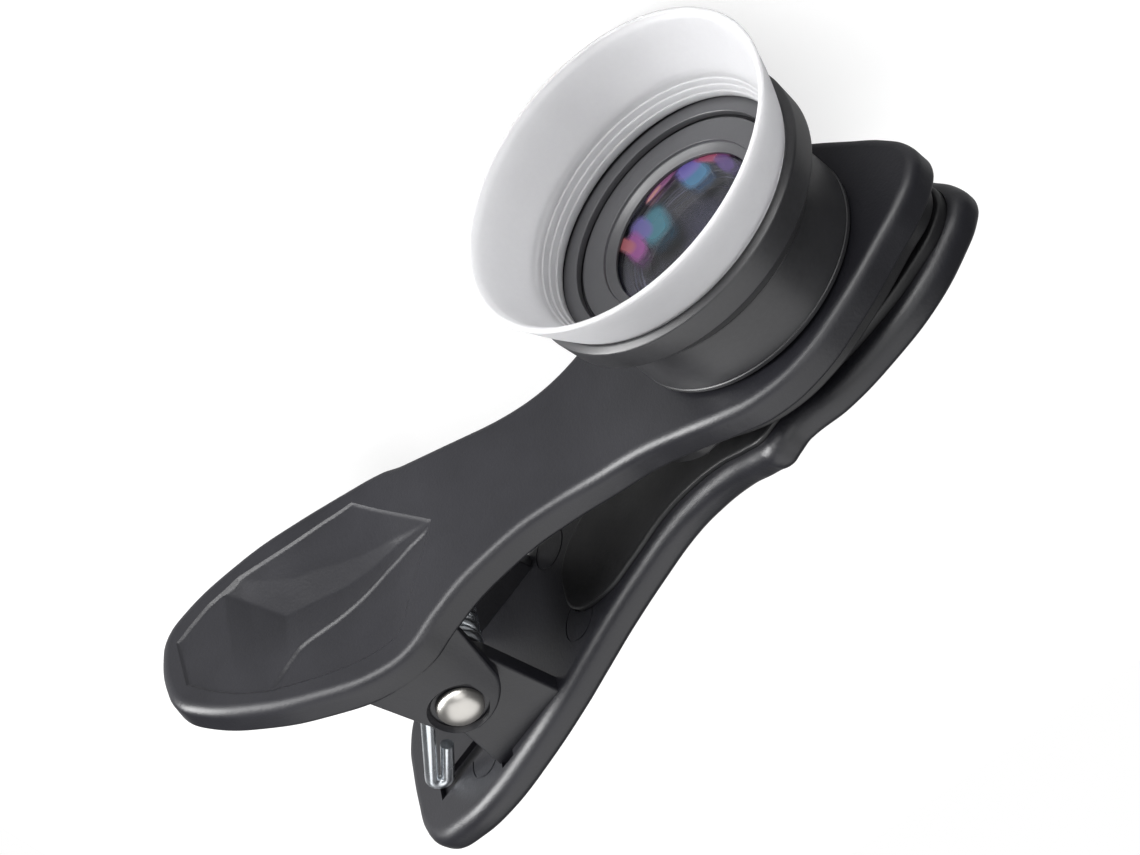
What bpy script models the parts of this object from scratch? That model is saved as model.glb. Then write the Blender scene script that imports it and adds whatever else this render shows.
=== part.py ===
"""Clip-on phone lens: two moulded arms on a sprung rivet, and a two-cell close-up lens with a clear hood.

Everything is built in the clip frame: x runs along the arms towards the jaw, y across them and z up the lens
axis, with the origin where that axis meets the upper arm's outer face. The finished clip is then laid on its
side, the way it comes to rest: a quarter turn about x puts the lens axis along the world's +Y.
"""

import math

import bmesh
import bpy
from mathutils import Matrix, Vector

MM = 0.001

# Fits
GAP = 0.30 * MM
RUNNING_CLEARANCE = 0.10 * MM
THREAD_CLEARANCE = 0.15 * MM

# Arms: each flat outline is given as (distance along the arm, half width), thumb end first
ARM_THICKNESS = 2.8 * MM
ARM_EDGE_ROUND = 0.90 * MM
UPPER_SIDE = (
    (-58.9, 1.6), (-58.3, 3.7), (-56.6, 5.5), (-51.0, 8.45), (-46.5, 9.75), (-40.4, 10.5), (-37.6, 10.1),
    (-35.0, 8.9), (-29.3, 7.15), (-23.5, 6.25), (-17.2, 7.0), (-13.0, 8.35), (-8.8, 10.3), (-5.0, 11.8),
    (-1.3, 12.55), (2.7, 11.9), (7.0, 9.55), (11.8, 5.85), (14.2, 3.8), (15.9, 1.7), (16.4, 0.0),
)
LOWER_SIDE = (
    (-57.4, 1.8), (-57.1, 4.6), (-55.6, 7.2), (-52.0, 8.9), (-47.6, 9.75), (-42.0, 9.6), (-36.0, 8.75),
    (-32.5, 7.95), (-28.0, 6.95), (-23.5, 6.4), (-19.0, 6.35), (-15.0, 7.1), (-10.5, 8.7), (-7.3, 10.45),
    (-5.2, 11.35), (-3.8, 11.05), (-2.2, 10.5), (1.5, 10.25), (6.2, 8.85), (11.0, 6.5), (14.5, 3.5),
    (16.1, 1.5), (16.6, 0.0),
)

# Side profile of each arm: (distance along the arm, degrees by which it heads down towards the thumb end)
UPPER_BEND = (
    (-4.0, 0.0), (-10.0, 11.3), (-15.0, 11.3), (-20.0, 1.0), (-24.0, -4.0), (-30.0, -1.7), (-34.0, 5.7),
    (-37.0, 5.7), (-40.0, -5.7), (-44.0, -14.8),
)
LOWER_BEND = ((-2.5, 0.0), (-6.5, 21.5), (-20.0, 21.5), (-28.0, 18.4))
BEND_STEP = 2.5 * MM
JAW_GAP = 2.95 * MM

# Jaw pads
UPPER_PAD_PROUD = 1.70 * MM
LOWER_PAD_PROUD = 0.90 * MM
PAD_SEAT_DEPTH = 0.60 * MM
PAD_INSET = 1.60 * MM
PAD_EDGE_ROUND = 0.30 * MM
LOWER_PAD_LENGTH = 49.0 * MM
UPPER_PAD_LENGTH = 31.8 * MM
PAD_END_LENGTH = 4.6 * MM

# Hinge
HINGE_ALONG = -39.15 * MM
HINGE_DROP = 9.9 * MM
RIVET_SHANK_R = 1.10 * MM
RIVET_HEAD_R = 1.95 * MM
RIVET_HEAD_HEIGHT = 1.00 * MM
RIVET_TAIL_R = 1.55 * MM
RIVET_TAIL_HEIGHT = 0.55 * MM
HEAD_RECESS_DEPTH = 0.45 * MM
HEAD_RECESS_MARGIN = 0.40 * MM

# Ears
EAR_OUTER_Y = 10.35 * MM
UPPER_EAR_THICKNESS = 2.35 * MM
LOWER_EAR_THICKNESS = 1.60 * MM
EAR_SIDE_CLEARANCE = 0.25 * MM
EAR_FLUSH_INSET = 0.05 * MM
EAR_NOSE_R = 2.85 * MM
EAR_CHEEK = 0.80 * MM
UPPER_EAR_FRONT_ROOT = 4.8 * MM
UPPER_EAR_REAR_ROOT = 4.6 * MM
LOWER_EAR_FRONT_ROOT = 6.1 * MM
LOWER_EAR_REAR_ROOT = 3.9 * MM
EAR_ROOT_DEPTH = 1.2 * MM
EAR_POCKET_DEPTH = 0.6 * MM
EAR_POCKET_MARGIN = 1.0 * MM
EAR_POCKET_INSET = 0.8 * MM

# Torsion spring
WIRE_R = 0.575 * MM
COIL_R = 2.20 * MM
COIL_TURNS = 6
COIL_PITCH = 1.36 * MM
COIL_STEPS = 10
FOLD_X = -50.2 * MM
FOLD_R = 0.66 * MM
FOLD_TURN = 162.0
FOLD_LENGTH = 4.6 * MM
LEG_INWARD = 1.2 * MM
LEG_GROOVE_DEPTH = 0.50 * MM
LEG_GROOVE_LENGTH = 5.0 * MM
LEG_GROOVE_MARGIN = 0.35 * MM

# Thumb recess, flat: sections of (distance along, offset across, depth), each from the far rim over the
# crease, the channel's floor and the ridge to the near rim
RECESS_SECTIONS = (
    ((-33.0, 0.3, 0.3), (-33.0, 0.15, 0.3), (-33.0, 0.0, 0.35), (-33.0, -0.15, 0.3), (-33.0, -0.3, 0.3)),
    ((-39.8, 8.4, 0.3), (-39.0, 3.0, 0.75), (-38.6, 1.3, 1.2), (-38.8, -0.1, 0.45), (-39.8, -8.4, 0.3)),
    ((-43.5, 8.4, 0.3), (-43.7, 3.2, 0.85), (-43.4, 0.3, 1.4), (-43.4, -1.8, 0.5), (-43.5, -8.4, 0.3)),
    ((-47.3, 7.8, 0.3), (-47.8, 4.5, 0.9), (-47.5, 0.8, 1.45), (-46.6, -3.0, 0.5), (-47.3, -7.8, 0.3)),
    ((-50.8, 6.6, 0.3), (-51.1, 6.0, 0.6), (-50.8, 1.0, 1.3), (-50.1, -5.7, 0.5), (-50.9, -6.4, 0.3)),
    ((-54.2, 4.8, 0.3), (-53.0, 3.0, 0.9), (-52.1, 1.1, 1.15), (-52.0, -0.6, 1.1), (-53.2, -4.9, 0.3)),
    ((-56.9, 2.4, 0.3), (-57.0, 1.2, 0.3), (-57.0, 0.0, 0.3), (-57.0, -1.2, 0.3), (-56.9, -2.4, 0.3)),
)
RECESS_OVERSHOOT = 2.0 * MM

# Lens, turned parts: the glass sets the radii, wall by wall outwards. Heights run along the lens axis
ELEMENT_R = 7.00 * MM
SEAT_LIP = 0.80 * MM
NECK_WALL = 1.20 * MM
SPIGOT_WALL = 1.65 * MM
BARREL_WALL = 1.40 * MM
BARREL_HEIGHT = 5.40 * MM
BARREL_CHAMFER = 0.30 * MM
SEAT_WEB = 0.80 * MM
CELL_WALL = 0.75 * MM
CELL_TAPER = 0.20 * MM
CELL_UNDERCUT = 1.75 * MM
CELL_SIDE_HEIGHT = 2.25 * MM
CELL_RIM_WIDTH = 0.55 * MM
CELL_RIM_BEVEL = 0.35 * MM
SOCKET_DEPTH = 2.30 * MM
FACE_RING_WIDTH = 1.30 * MM
FACE_RING_HEIGHT = 0.55 * MM
RETAINER_WIDTH = 2.75 * MM
RETAINER_LIP = 0.40 * MM
RETAINER_HEIGHT = 0.80 * MM
RETAINER_STEP = 0.70 * MM
RETAINER_BEVEL = 0.50 * MM
RING_CLEARANCE = 0.25 * MM
SMALL_RING_WIDTH = 1.10 * MM
SPACER_HEIGHT = 0.50 * MM
BARREL_RING_HEIGHT = 0.30 * MM
REAR_RING_HEIGHT = 0.60 * MM
SLOT_WIDTH = 1.00 * MM
SLOT_DEPTH = 0.15 * MM
INNER_EDGE_THICKNESS = 0.70 * MM
FRONT_EDGE_THICKNESS = 1.00 * MM
FRONT_LENS_CROWN = 0.80 * MM
INNER_LENS_CROWN = 0.20 * MM

# Hood
HOOD_OVERLAP = 0.20 * MM
HOOD_NECK_WALL = 1.05 * MM
HOOD_LEDGE = 0.35 * MM
HOOD_FLARE = 1.90 * MM
HOOD_FLARE_HEIGHT = 5.05 * MM
HOOD_WALL = 0.75 * MM
HOOD_STEPS = 3

# Radii worked out from the glass outwards
APERTURE_R = ELEMENT_R - SEAT_LIP
SMALL_RING_INNER_R = ELEMENT_R - SMALL_RING_WIDTH
ELEMENT_BORE_R = ELEMENT_R + THREAD_CLEARANCE
MOUNT_NECK_R = ELEMENT_BORE_R + NECK_WALL
SPIGOT_R = ELEMENT_BORE_R + SPIGOT_WALL
SPIGOT_BORE_R = SPIGOT_R + THREAD_CLEARANCE
BARREL_R = SPIGOT_BORE_R + BARREL_WALL
RETAINER_INNER_R = ELEMENT_R - RETAINER_LIP
RETAINER_OUTER_R = RETAINER_INNER_R + RETAINER_WIDTH
FACE_RING_INNER_R = RETAINER_OUTER_R + RING_CLEARANCE
FACE_RING_OUTER_R = FACE_RING_INNER_R + FACE_RING_WIDTH
HOOD_NECK_INNER_R = FACE_RING_OUTER_R - HOOD_OVERLAP
HOOD_NECK_R = HOOD_NECK_INNER_R + HOOD_NECK_WALL
SOCKET_R = HOOD_NECK_R + THREAD_CLEARANCE
CELL_R = SOCKET_R + CELL_WALL
HOOD_FLARE_BASE_R = HOOD_NECK_R + HOOD_LEDGE
HOOD_RIM_R = HOOD_FLARE_BASE_R + HOOD_FLARE

# Facets round a turn
OUTER_SEGMENTS = 36
INNER_SEGMENTS = 24
RIVET_SEGMENTS = 20


def clear_scene():
    for obj in list(bpy.data.objects):
        bpy.data.objects.remove(obj, do_unlink=True)


def make_collection(name):
    collection = bpy.data.collections.new(name)
    bpy.context.scene.collection.children.link(collection)
    return collection


def make_material(name, color, roughness, metallic=0.0, transmission=0.0):
    material = bpy.data.materials.new(name)
    material.use_nodes = True
    shader = material.node_tree.nodes["Principled BSDF"]
    shader.inputs["Base Color"].default_value = (*color, 1.0)
    shader.inputs["Roughness"].default_value = roughness
    shader.inputs["Metallic"].default_value = metallic
    shader.inputs["Transmission Weight"].default_value = transmission
    material.diffuse_color = (*color, 1.0)
    return material


def add_object(name, data, collection, parent=None, location=(0.0, 0.0, 0.0)):
    """Link a new object. Its location is in the clip frame, whatever its parent's place."""
    obj = bpy.data.objects.new(name, data)
    collection.objects.link(obj)
    if parent is not None:
        obj.parent = parent
        obj.location = Vector(location) - parent_place(parent)
    else:
        obj.location = location
    return obj


def parent_place(empty):
    """Where an empty sits in the clip frame."""
    place = Vector((0.0, 0.0, 0.0))
    while empty is not None:
        place += empty.location
        empty = empty.parent
    return place


def add_empty(name, collection, parent=None, location=(0.0, 0.0, 0.0)):
    return add_object(name, None, collection, parent, location)


def finish(obj, material):
    """Give a part its material and smooth shading with sharp corners kept."""
    obj.data.materials.clear()
    obj.data.materials.append(material)
    obj.data.shade_smooth()
    obj.data.set_sharp_from_angle(angle=math.radians(35.0))
    return obj


def baked(obj):
    """The mesh that an object's modifiers or curve settings give, with its seams welded."""
    bpy.context.view_layer.update()
    depsgraph = bpy.context.evaluated_depsgraph_get()
    mesh = bpy.data.meshes.new_from_object(obj.evaluated_get(depsgraph))
    mesh.name = obj.name
    bm = bmesh.new()
    bm.from_mesh(mesh)
    bmesh.ops.remove_doubles(bm, verts=bm.verts, dist=0.001 * MM)
    bm.to_mesh(mesh)
    bm.free()
    return mesh


def boolean(obj, tool, operation):
    modifier = obj.modifiers.new(tool.name, "BOOLEAN")
    modifier.operation = operation
    modifier.solver = "EXACT"
    modifier.object = tool
    return modifier


class Workshop:
    """Holds the collections, and makes the tool solids that cut or extend the parts."""

    def __init__(self):
        self.parts = make_collection("clip_on_phone_lens")
        self.tools = make_collection("cutters")

    def tool(self, name, mesh):
        obj = add_object(name, mesh, self.tools)
        obj.hide_render = True
        obj.display_type = "WIRE"
        return obj

    def prism(self, name, outline, low, high, smooth=False, edge=0.0):
        """A solid over a flat outline of (x, y) points, from height low to height high."""
        return self.tool(name, prism_mesh(name, outline, low, high, smooth, edge))

    def cylinder(self, name, radius, low, high, axis="Z", centre=(0.0, 0.0), segments=OUTER_SEGMENTS):
        """A round tool between two places along Z, or along Y with its centre given as (x, z)."""
        bm = bmesh.new()
        bmesh.ops.create_cone(
            bm, cap_ends=True, segments=segments, radius1=radius, radius2=radius, depth=high - low
        )
        mesh = bpy.data.meshes.new(name)
        bm.to_mesh(mesh)
        bm.free()
        middle = (low + high) / 2.0
        obj = self.tool(name, mesh)
        if axis == "Y":
            mesh.transform(Matrix.Rotation(math.radians(90.0), 4, "X"))
            obj.location = (centre[0], middle, centre[1])
        else:
            obj.location = (centre[0], centre[1], middle)
        return obj

    def box(self, name, low, high):
        bm = bmesh.new()
        bmesh.ops.create_cube(bm, size=1.0)
        size = [b - a for a, b in zip(low, high)]
        bmesh.ops.scale(bm, vec=size, verts=bm.verts)
        mesh = bpy.data.meshes.new(name)
        bm.to_mesh(mesh)
        bm.free()
        obj = self.tool(name, mesh)
        obj.location = [(a + b) / 2.0 for a, b in zip(low, high)]
        return obj


def loft_mesh(name, sections):
    """A closed solid through sections that all have the same number of points."""
    bm = bmesh.new()
    loops = [[bm.verts.new(point) for point in section] for section in sections]
    for first, second in zip(loops, loops[1:]):
        for index in range(len(first)):
            after = (index + 1) % len(first)
            bm.faces.new((first[index], first[after], second[after], second[index]))
    bm.faces.new(list(reversed(loops[0])))
    bm.faces.new(loops[-1])
    bmesh.ops.triangulate(bm, faces=bm.faces)
    bmesh.ops.recalc_face_normals(bm, faces=bm.faces)
    mesh = bpy.data.meshes.new(name)
    bm.to_mesh(mesh)
    bm.free()
    return mesh


def prism_mesh(name, outline, low, high, smooth=False, edge=0.0, edge_steps=1):
    """A flat outline, filled and given thickness, with its edges rounded by edge."""
    curve = bpy.data.curves.new(name, "CURVE")
    curve.dimensions = "2D"
    curve.fill_mode = "BOTH"
    curve.extrude = (high - low) / 2.0 - edge
    curve.bevel_depth = edge
    curve.bevel_resolution = edge_steps
    curve.offset = -edge
    curve.resolution_u = 3
    if smooth:
        spline = curve.splines.new("BEZIER")
        spline.bezier_points.add(len(outline) - 1)
        for point, (x, y) in zip(spline.bezier_points, outline):
            point.co = (x, y, 0.0)
            point.handle_left_type = "AUTO"
            point.handle_right_type = "AUTO"
    else:
        spline = curve.splines.new("POLY")
        spline.points.add(len(outline) - 1)
        for point, (x, y) in zip(spline.points, outline):
            point.co = (x, y, 0.0, 1.0)
    spline.use_cyclic_u = True
    holder = bpy.data.objects.new(name, curve)
    bpy.context.scene.collection.objects.link(holder)
    mesh = baked(holder)
    bpy.data.objects.remove(holder, do_unlink=True)
    bpy.data.curves.remove(curve)
    mesh.transform(Matrix.Translation((0.0, 0.0, (low + high) / 2.0)))
    merge_flat_caps(mesh)
    return mesh


def merge_flat_caps(mesh):
    """Turn each triangulated flat cap into one face, so that later cuts across it stay clean."""
    bm = bmesh.new()
    bm.from_mesh(mesh)
    inner = []
    for edge in bm.edges:
        if len(edge.link_faces) != 2:
            continue
        if all(abs(face.normal.z) > 0.9999 for face in edge.link_faces):
            inner.append(edge)
    bmesh.ops.dissolve_edges(bm, edges=inner, use_verts=False)
    bm.normal_update()
    bm.to_mesh(mesh)
    bm.free()


def millimetres(points):
    return [tuple(value * MM for value in point) for point in points]


def mirrored(side):
    """Close a half outline, thumb end first, by its mirror image across the arm's middle."""
    side = millimetres(side)
    back = [(x, -y) for x, y in reversed(side) if y > 0.0]
    return side + back


class ArmPath:
    """The bent line that an arm follows from the jaw to the thumb end, at the height of its top face."""

    def __init__(self, bends, start_height):
        self.angles = [(x * MM, math.radians(angle)) for x, angle in bends]
        self.stations = self.make_stations()
        self.places = self.follow(start_height)

    def angle_at(self, along):
        if along >= self.angles[0][0]:
            return self.angles[0][1]
        for (x1, a1), (x2, a2) in zip(self.angles, self.angles[1:]):
            if x2 <= along:
                share = (x1 - along) / (x1 - x2)
                return a1 + share * (a2 - a1)
        return self.angles[-1][1]

    def make_stations(self):
        stations = []
        for (x1, a1), (x2, a2) in zip(self.angles, self.angles[1:]):
            if abs(a1 - a2) > 1e-6:
                count = max(2, math.ceil((x1 - x2) / BEND_STEP))
            else:
                count = 1
            stations += [x1 + (x2 - x1) * k / count for k in range(count)]
        stations.append(self.angles[-1][0])
        return stations

    def follow(self, height):
        """Place and tilt at each station, and at a far point beyond each end."""
        reach = 100.0 * MM
        first = self.stations[0]
        places = [(first + reach, first + reach, height, self.angle_at(first)), (first, first, height, self.angle_at(first))]
        x, z = first, height
        for before, after in zip(self.stations, self.stations[1:]):
            step = before - after
            tilt = self.angle_at((before + after) / 2.0)
            x -= step * math.cos(tilt)
            z -= step * math.sin(tilt)
            places.append((after, x, z, self.angle_at(after)))
        tilt = self.angles[-1][1]
        last = self.stations[-1]
        places.append((last - reach, x - reach * math.cos(tilt), z - reach * math.sin(tilt), tilt))
        return places

    def at(self, along):
        """(x, z, tilt) of the arm's top face at a distance along it."""
        for (s1, x1, z1, t1), (s2, x2, z2, t2) in zip(self.places, self.places[1:]):
            if s2 <= along <= s1:
                share = (s1 - along) / (s1 - s2)
                return (x1 + share * (x2 - x1), z1 + share * (z2 - z1), t1 + share * (t2 - t1))
        raise ValueError("outside the arm")

    def point(self, along, height=0.0):
        """(x, z) of a point that lies height above the arm's top face."""
        x, z, tilt = self.at(along)
        return (x - height * math.sin(tilt), z + height * math.cos(tilt))

    def along_at(self, x):
        """The distance along the arm of the place above or below x."""
        for (s1, x1, _, _), (s2, x2, _, _) in zip(self.places, self.places[1:]):
            if x2 <= x <= x1:
                return s1 + (s2 - s1) * (x1 - x) / (x1 - x2)
        raise ValueError("outside the arm")

    def bend(self, mesh):
        """Cut a flat blank across at each station, and lay it along the path."""
        bm = bmesh.new()
        bm.from_mesh(mesh)
        for station in self.stations:
            everything = bm.verts[:] + bm.edges[:] + bm.faces[:]
            bmesh.ops.bisect_plane(
                bm, geom=everything, dist=0.0005 * MM, plane_co=(station, 0.0, 0.0), plane_no=(1.0, 0.0, 0.0)
            )
        for vert in bm.verts:
            vert.co.x, vert.co.z = self.point(vert.co.x, vert.co.z)
        bm.normal_update()
        bm.to_mesh(mesh)
        bm.free()


UPPER_PATH = ArmPath(UPPER_BEND, 0.0)
LOWER_PATH = ArmPath(LOWER_BEND, -ARM_THICKNESS - JAW_GAP)
HINGE_X = UPPER_PATH.at(HINGE_ALONG)[0]
HINGE_Z = -HINGE_DROP
UPPER_EAR_INNER_Y = EAR_OUTER_Y - UPPER_EAR_THICKNESS
LOWER_EAR_OUTER_Y = UPPER_EAR_INNER_Y - EAR_SIDE_CLEARANCE
LOWER_EAR_INNER_Y = LOWER_EAR_OUTER_Y - LOWER_EAR_THICKNESS
HEAD_RECESS_Y = EAR_OUTER_Y - HEAD_RECESS_DEPTH
RIVET_HOLE_R = RIVET_SHANK_R + RUNNING_CLEARANCE


def pad_outline(arm_side, length, grow=0.0):
    """An arm's outline drawn in from its edge, with a round end towards the hinge. Grow widens it all round."""
    end = arm_side[-1][0] * MM - length
    neck = end + PAD_END_LENGTH
    body = []
    for x, y in millimetres(arm_side):
        if x > neck + 0.4 * PAD_END_LENGTH and y > 2.0 * PAD_INSET:
            body.append((x, y - PAD_INSET + grow))
    neck_y = body[0][1]
    tip = arm_side[-1][0] * MM - 1.45 * (PAD_INSET - grow)
    half = [(end - grow, 0.0), (end + 0.14 * PAD_END_LENGTH - grow, 0.55 * neck_y), (neck, 0.97 * neck_y)]
    half += body + [(tip, 0.0)]
    return half + [(x, -y) for x, y in reversed(half) if y > 0.0]


def thumb_recess(shop, name, flip):
    """A tool for the faceted recess, lofted through its sections and open above the arm's face."""
    sections = []
    for marks in RECESS_SECTIONS:
        points = [Vector((x * MM, y * MM, -depth * MM)) for x, y, depth in marks]
        far, near = points[0], points[-1]
        points.append(Vector((near.x, near.y, RECESS_OVERSHOOT)))
        points.append(Vector((far.x, far.y, RECESS_OVERSHOOT)))
        sections.append(points)
    mesh = loft_mesh(name, sections)
    if flip:
        mesh.transform(Matrix.Translation((0.0, 0.0, -ARM_THICKNESS)) @ Matrix.Rotation(math.pi, 4, "X"))
    return shop.tool(name, mesh)


def arm_blank(shop, name, side):
    """A flat arm with its top face at height zero."""
    mesh = prism_mesh(name, mirrored(side), -ARM_THICKNESS, 0.0, smooth=True, edge=ARM_EDGE_ROUND)
    return add_object(name, mesh, shop.parts)


def rebake(obj):
    """Fix the modifiers' result into the object's own mesh."""
    mesh = baked(obj)
    obj.modifiers.clear()
    obj.data = mesh


def ear_outline(front_root, rear_root, cheek):
    """An ear's side view with its nose down, from the rivet's place: a round nose, wider by cheek on the jaw side."""
    points = []
    for step in range(9):
        angle = math.radians(190.0 + 20.0 * step)
        stretch = cheek * max(0.0, math.cos(angle))
        points.append((EAR_NOSE_R * math.cos(angle) + stretch, EAR_NOSE_R * math.sin(angle)))
    return [rear_root] + points + [front_root]


def add_ears(shop, arm, outline, inner_y, outer_y, trim=None):
    """Join two ears to an arm. The outline is in the x-z plane, and trim is a solid that they are kept within."""
    for side in ("near", "far"):
        low, high = (inner_y, outer_y) if side == "near" else (-outer_y, -inner_y)
        mesh = prism_mesh(arm.name + "_ear", outline, low, high)
        mesh.transform(Matrix.Rotation(math.radians(90.0), 4, "X"))
        ear = shop.tool(f"{arm.name}_{side}_ear", mesh)
        if trim is not None:
            boolean(ear, trim, "INTERSECT")
        boolean(arm, ear, "UNION")


def leg_groove(shop, name, path, side, height, outward):
    """A groove for a spring leg's folded end, in the face at this height of an arm's path."""
    half = WIRE_R + LEG_GROOVE_MARGIN
    along = path.along_at(FOLD_X)
    x, z = path.point(along, height)
    tool = shop.box(name, (-half - FOLD_R, -half, -LEG_GROOVE_DEPTH), (LEG_GROOVE_LENGTH, half, ARM_THICKNESS))
    tool.data.transform(Matrix.Translation(tool.location))
    tool.data.transform(Matrix.Rotation(0.0 if outward > 0.0 else math.pi, 4, "X"))
    tool.data.transform(Matrix.Rotation(-path.at(along)[2], 4, "Y"))
    tool.location = (x, side, z)
    return tool


def leg_offset():
    """How far across the clip each spring leg's fold lies."""
    return COIL_PITCH * COIL_TURNS / 2.0 - LEG_INWARD + 0.5 * COIL_PITCH


def make_upper_arm(shop, hinge, plastic):
    arm = arm_blank(shop, "upper_arm", UPPER_SIDE)
    boolean(arm, thumb_recess(shop, "upper_thumb_recess", flip=False), "DIFFERENCE")
    seat = pad_outline(UPPER_SIDE, UPPER_PAD_LENGTH, GAP)
    seat_floor = PAD_SEAT_DEPTH - ARM_THICKNESS
    boolean(arm, shop.prism("upper_pad_seat", seat, -2.0 * ARM_THICKNESS, seat_floor, smooth=True), "DIFFERENCE")
    rebake(arm)
    UPPER_PATH.bend(arm.data)
    root_z = UPPER_PATH.at(HINGE_ALONG)[1] - ARM_THICKNESS + EAR_ROOT_DEPTH
    front = (UPPER_EAR_FRONT_ROOT, root_z - HINGE_Z)
    rear = (-UPPER_EAR_REAR_ROOT, root_z - HINGE_Z)
    outline = [(HINGE_X + x, HINGE_Z + z) for x, z in ear_outline(front, rear, EAR_CHEEK)]
    trim_outline = [(UPPER_PATH.at(x)[0], y - math.copysign(EAR_FLUSH_INSET, y)) for x, y in mirrored(UPPER_SIDE) if y]
    trim = shop.prism("upper_ear_trim", trim_outline, 2.0 * HINGE_Z, 2.0 * ARM_THICKNESS, smooth=True)
    add_ears(shop, arm, outline, UPPER_EAR_INNER_Y, EAR_OUTER_Y + ARM_THICKNESS, trim)
    reach = 2.0 * EAR_OUTER_Y
    place = (HINGE_X, HINGE_Z)
    boolean(arm, shop.cylinder("upper_rivet_hole", RIVET_HOLE_R, -reach, reach, "Y", place, RIVET_SEGMENTS), "DIFFERENCE")
    head_r = RIVET_HEAD_R + HEAD_RECESS_MARGIN
    near = shop.cylinder("near_head_recess", head_r, -reach, -HEAD_RECESS_Y, "Y", place, RIVET_SEGMENTS)
    far = shop.cylinder("far_head_recess", head_r, HEAD_RECESS_Y, reach, "Y", place, RIVET_SEGMENTS)
    boolean(arm, near, "DIFFERENCE")
    boolean(arm, far, "DIFFERENCE")
    hole = shop.cylinder("lens_hole", MOUNT_NECK_R + THREAD_CLEARANCE, -2.0 * ARM_THICKNESS, ARM_THICKNESS)
    boolean(arm, hole, "DIFFERENCE")
    boolean(arm, leg_groove(shop, "upper_leg_groove", UPPER_PATH, leg_offset(), -ARM_THICKNESS, -1.0), "DIFFERENCE")
    arm.parent = hinge
    arm.location = -parent_place(hinge)
    return finish(arm, plastic)


def make_lower_arm(shop, root, plastic):
    arm = arm_blank(shop, "lower_arm", LOWER_SIDE)
    boolean(arm, thumb_recess(shop, "lower_thumb_recess", flip=True), "DIFFERENCE")
    seat = pad_outline(LOWER_SIDE, LOWER_PAD_LENGTH, GAP)
    boolean(arm, shop.prism("lower_pad_seat", seat, -PAD_SEAT_DEPTH, ARM_THICKNESS, smooth=True), "DIFFERENCE")
    pocket_front = LOWER_PATH.along_at(HINGE_X + LOWER_EAR_FRONT_ROOT - EAR_POCKET_INSET)
    pocket_rear = LOWER_PATH.along_at(HINGE_X - LOWER_EAR_REAR_ROOT + 0.5 * EAR_POCKET_INSET)
    for side, name in ((-1.0, "near"), (1.0, "far")):
        inner = side * (LOWER_EAR_OUTER_Y - 0.5 * LOWER_EAR_THICKNESS)
        outer = side * (LOWER_EAR_OUTER_Y + EAR_POCKET_MARGIN)
        low = (pocket_rear, min(inner, outer), -EAR_POCKET_DEPTH)
        high = (pocket_front, max(inner, outer), ARM_THICKNESS)
        boolean(arm, shop.box(f"{name}_ear_pocket", low, high), "DIFFERENCE")
    rebake(arm)
    LOWER_PATH.bend(arm.data)
    front_x = LOWER_EAR_FRONT_ROOT
    rear_x = -LOWER_EAR_REAR_ROOT
    front_z = HINGE_Z - LOWER_PATH.at(LOWER_PATH.along_at(HINGE_X + front_x))[1] + EAR_ROOT_DEPTH
    rear_z = HINGE_Z - LOWER_PATH.at(LOWER_PATH.along_at(HINGE_X + rear_x))[1] + EAR_ROOT_DEPTH
    outline = ear_outline((front_x, front_z), (rear_x, rear_z), EAR_CHEEK)
    upright = [(HINGE_X + x, HINGE_Z - z) for x, z in outline]
    add_ears(shop, arm, upright, LOWER_EAR_INNER_Y, LOWER_EAR_OUTER_Y)
    reach = 2.0 * LOWER_EAR_OUTER_Y
    hole = shop.cylinder("lower_rivet_hole", RIVET_HOLE_R, -reach, reach, "Y", (HINGE_X, HINGE_Z), RIVET_SEGMENTS)
    boolean(arm, hole, "DIFFERENCE")
    boolean(arm, leg_groove(shop, "lower_leg_groove", LOWER_PATH, -leg_offset(), 0.0, 1.0), "DIFFERENCE")
    arm.parent = root
    return finish(arm, plastic)


def make_lower_pad(shop, root, rubber):
    outline = pad_outline(LOWER_SIDE, LOWER_PAD_LENGTH)
    mesh = prism_mesh("lower_jaw_pad", outline, GAP - PAD_SEAT_DEPTH, LOWER_PAD_PROUD, True, PAD_EDGE_ROUND, 0)
    LOWER_PATH.bend(mesh)
    return finish(add_object("lower_jaw_pad", mesh, shop.parts, root), rubber)


def make_upper_pad(shop, hinge, rubber):
    outline = pad_outline(UPPER_SIDE, UPPER_PAD_LENGTH)
    low = -ARM_THICKNESS - UPPER_PAD_PROUD
    high = -ARM_THICKNESS + PAD_SEAT_DEPTH - GAP
    mesh = prism_mesh("upper_jaw_pad", outline, low, high, True, PAD_EDGE_ROUND, 0)
    UPPER_PATH.bend(mesh)
    pad = add_object("upper_jaw_pad", mesh, shop.parts, hinge)
    hole_r = MOUNT_NECK_R + 2.0 * GAP
    boolean(pad, shop.cylinder("upper_pad_hole", hole_r, -3.0 * ARM_THICKNESS, 0.0), "DIFFERENCE")
    return finish(pad, rubber)


def turned(shop, name, profile, parent, material, segments, closed=True):
    """Turn a profile of (radius, height) points about the lens axis. It runs down the outer side first."""
    mesh = bpy.data.meshes.new(name)
    bm = bmesh.new()
    verts = [bm.verts.new((radius, 0.0, height)) for radius, height in profile]
    for first, second in zip(verts, verts[1:]):
        bm.edges.new((first, second))
    if closed:
        bm.edges.new((verts[-1], verts[0]))
    bm.to_mesh(mesh)
    bm.free()
    obj = add_object(name, mesh, shop.parts, parent)
    screw = obj.modifiers.new("turn", "SCREW")
    screw.axis = "Z"
    screw.steps = segments
    screw.render_steps = segments
    screw.use_merge_vertices = True
    screw.merge_threshold = 0.001 * MM
    rebake(obj)
    return finish(obj, material)


def ring_profile(outer, inner, low, high):
    """A plain ring."""
    return [(outer, high), (outer, low), (inner, low), (inner, high)]


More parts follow.
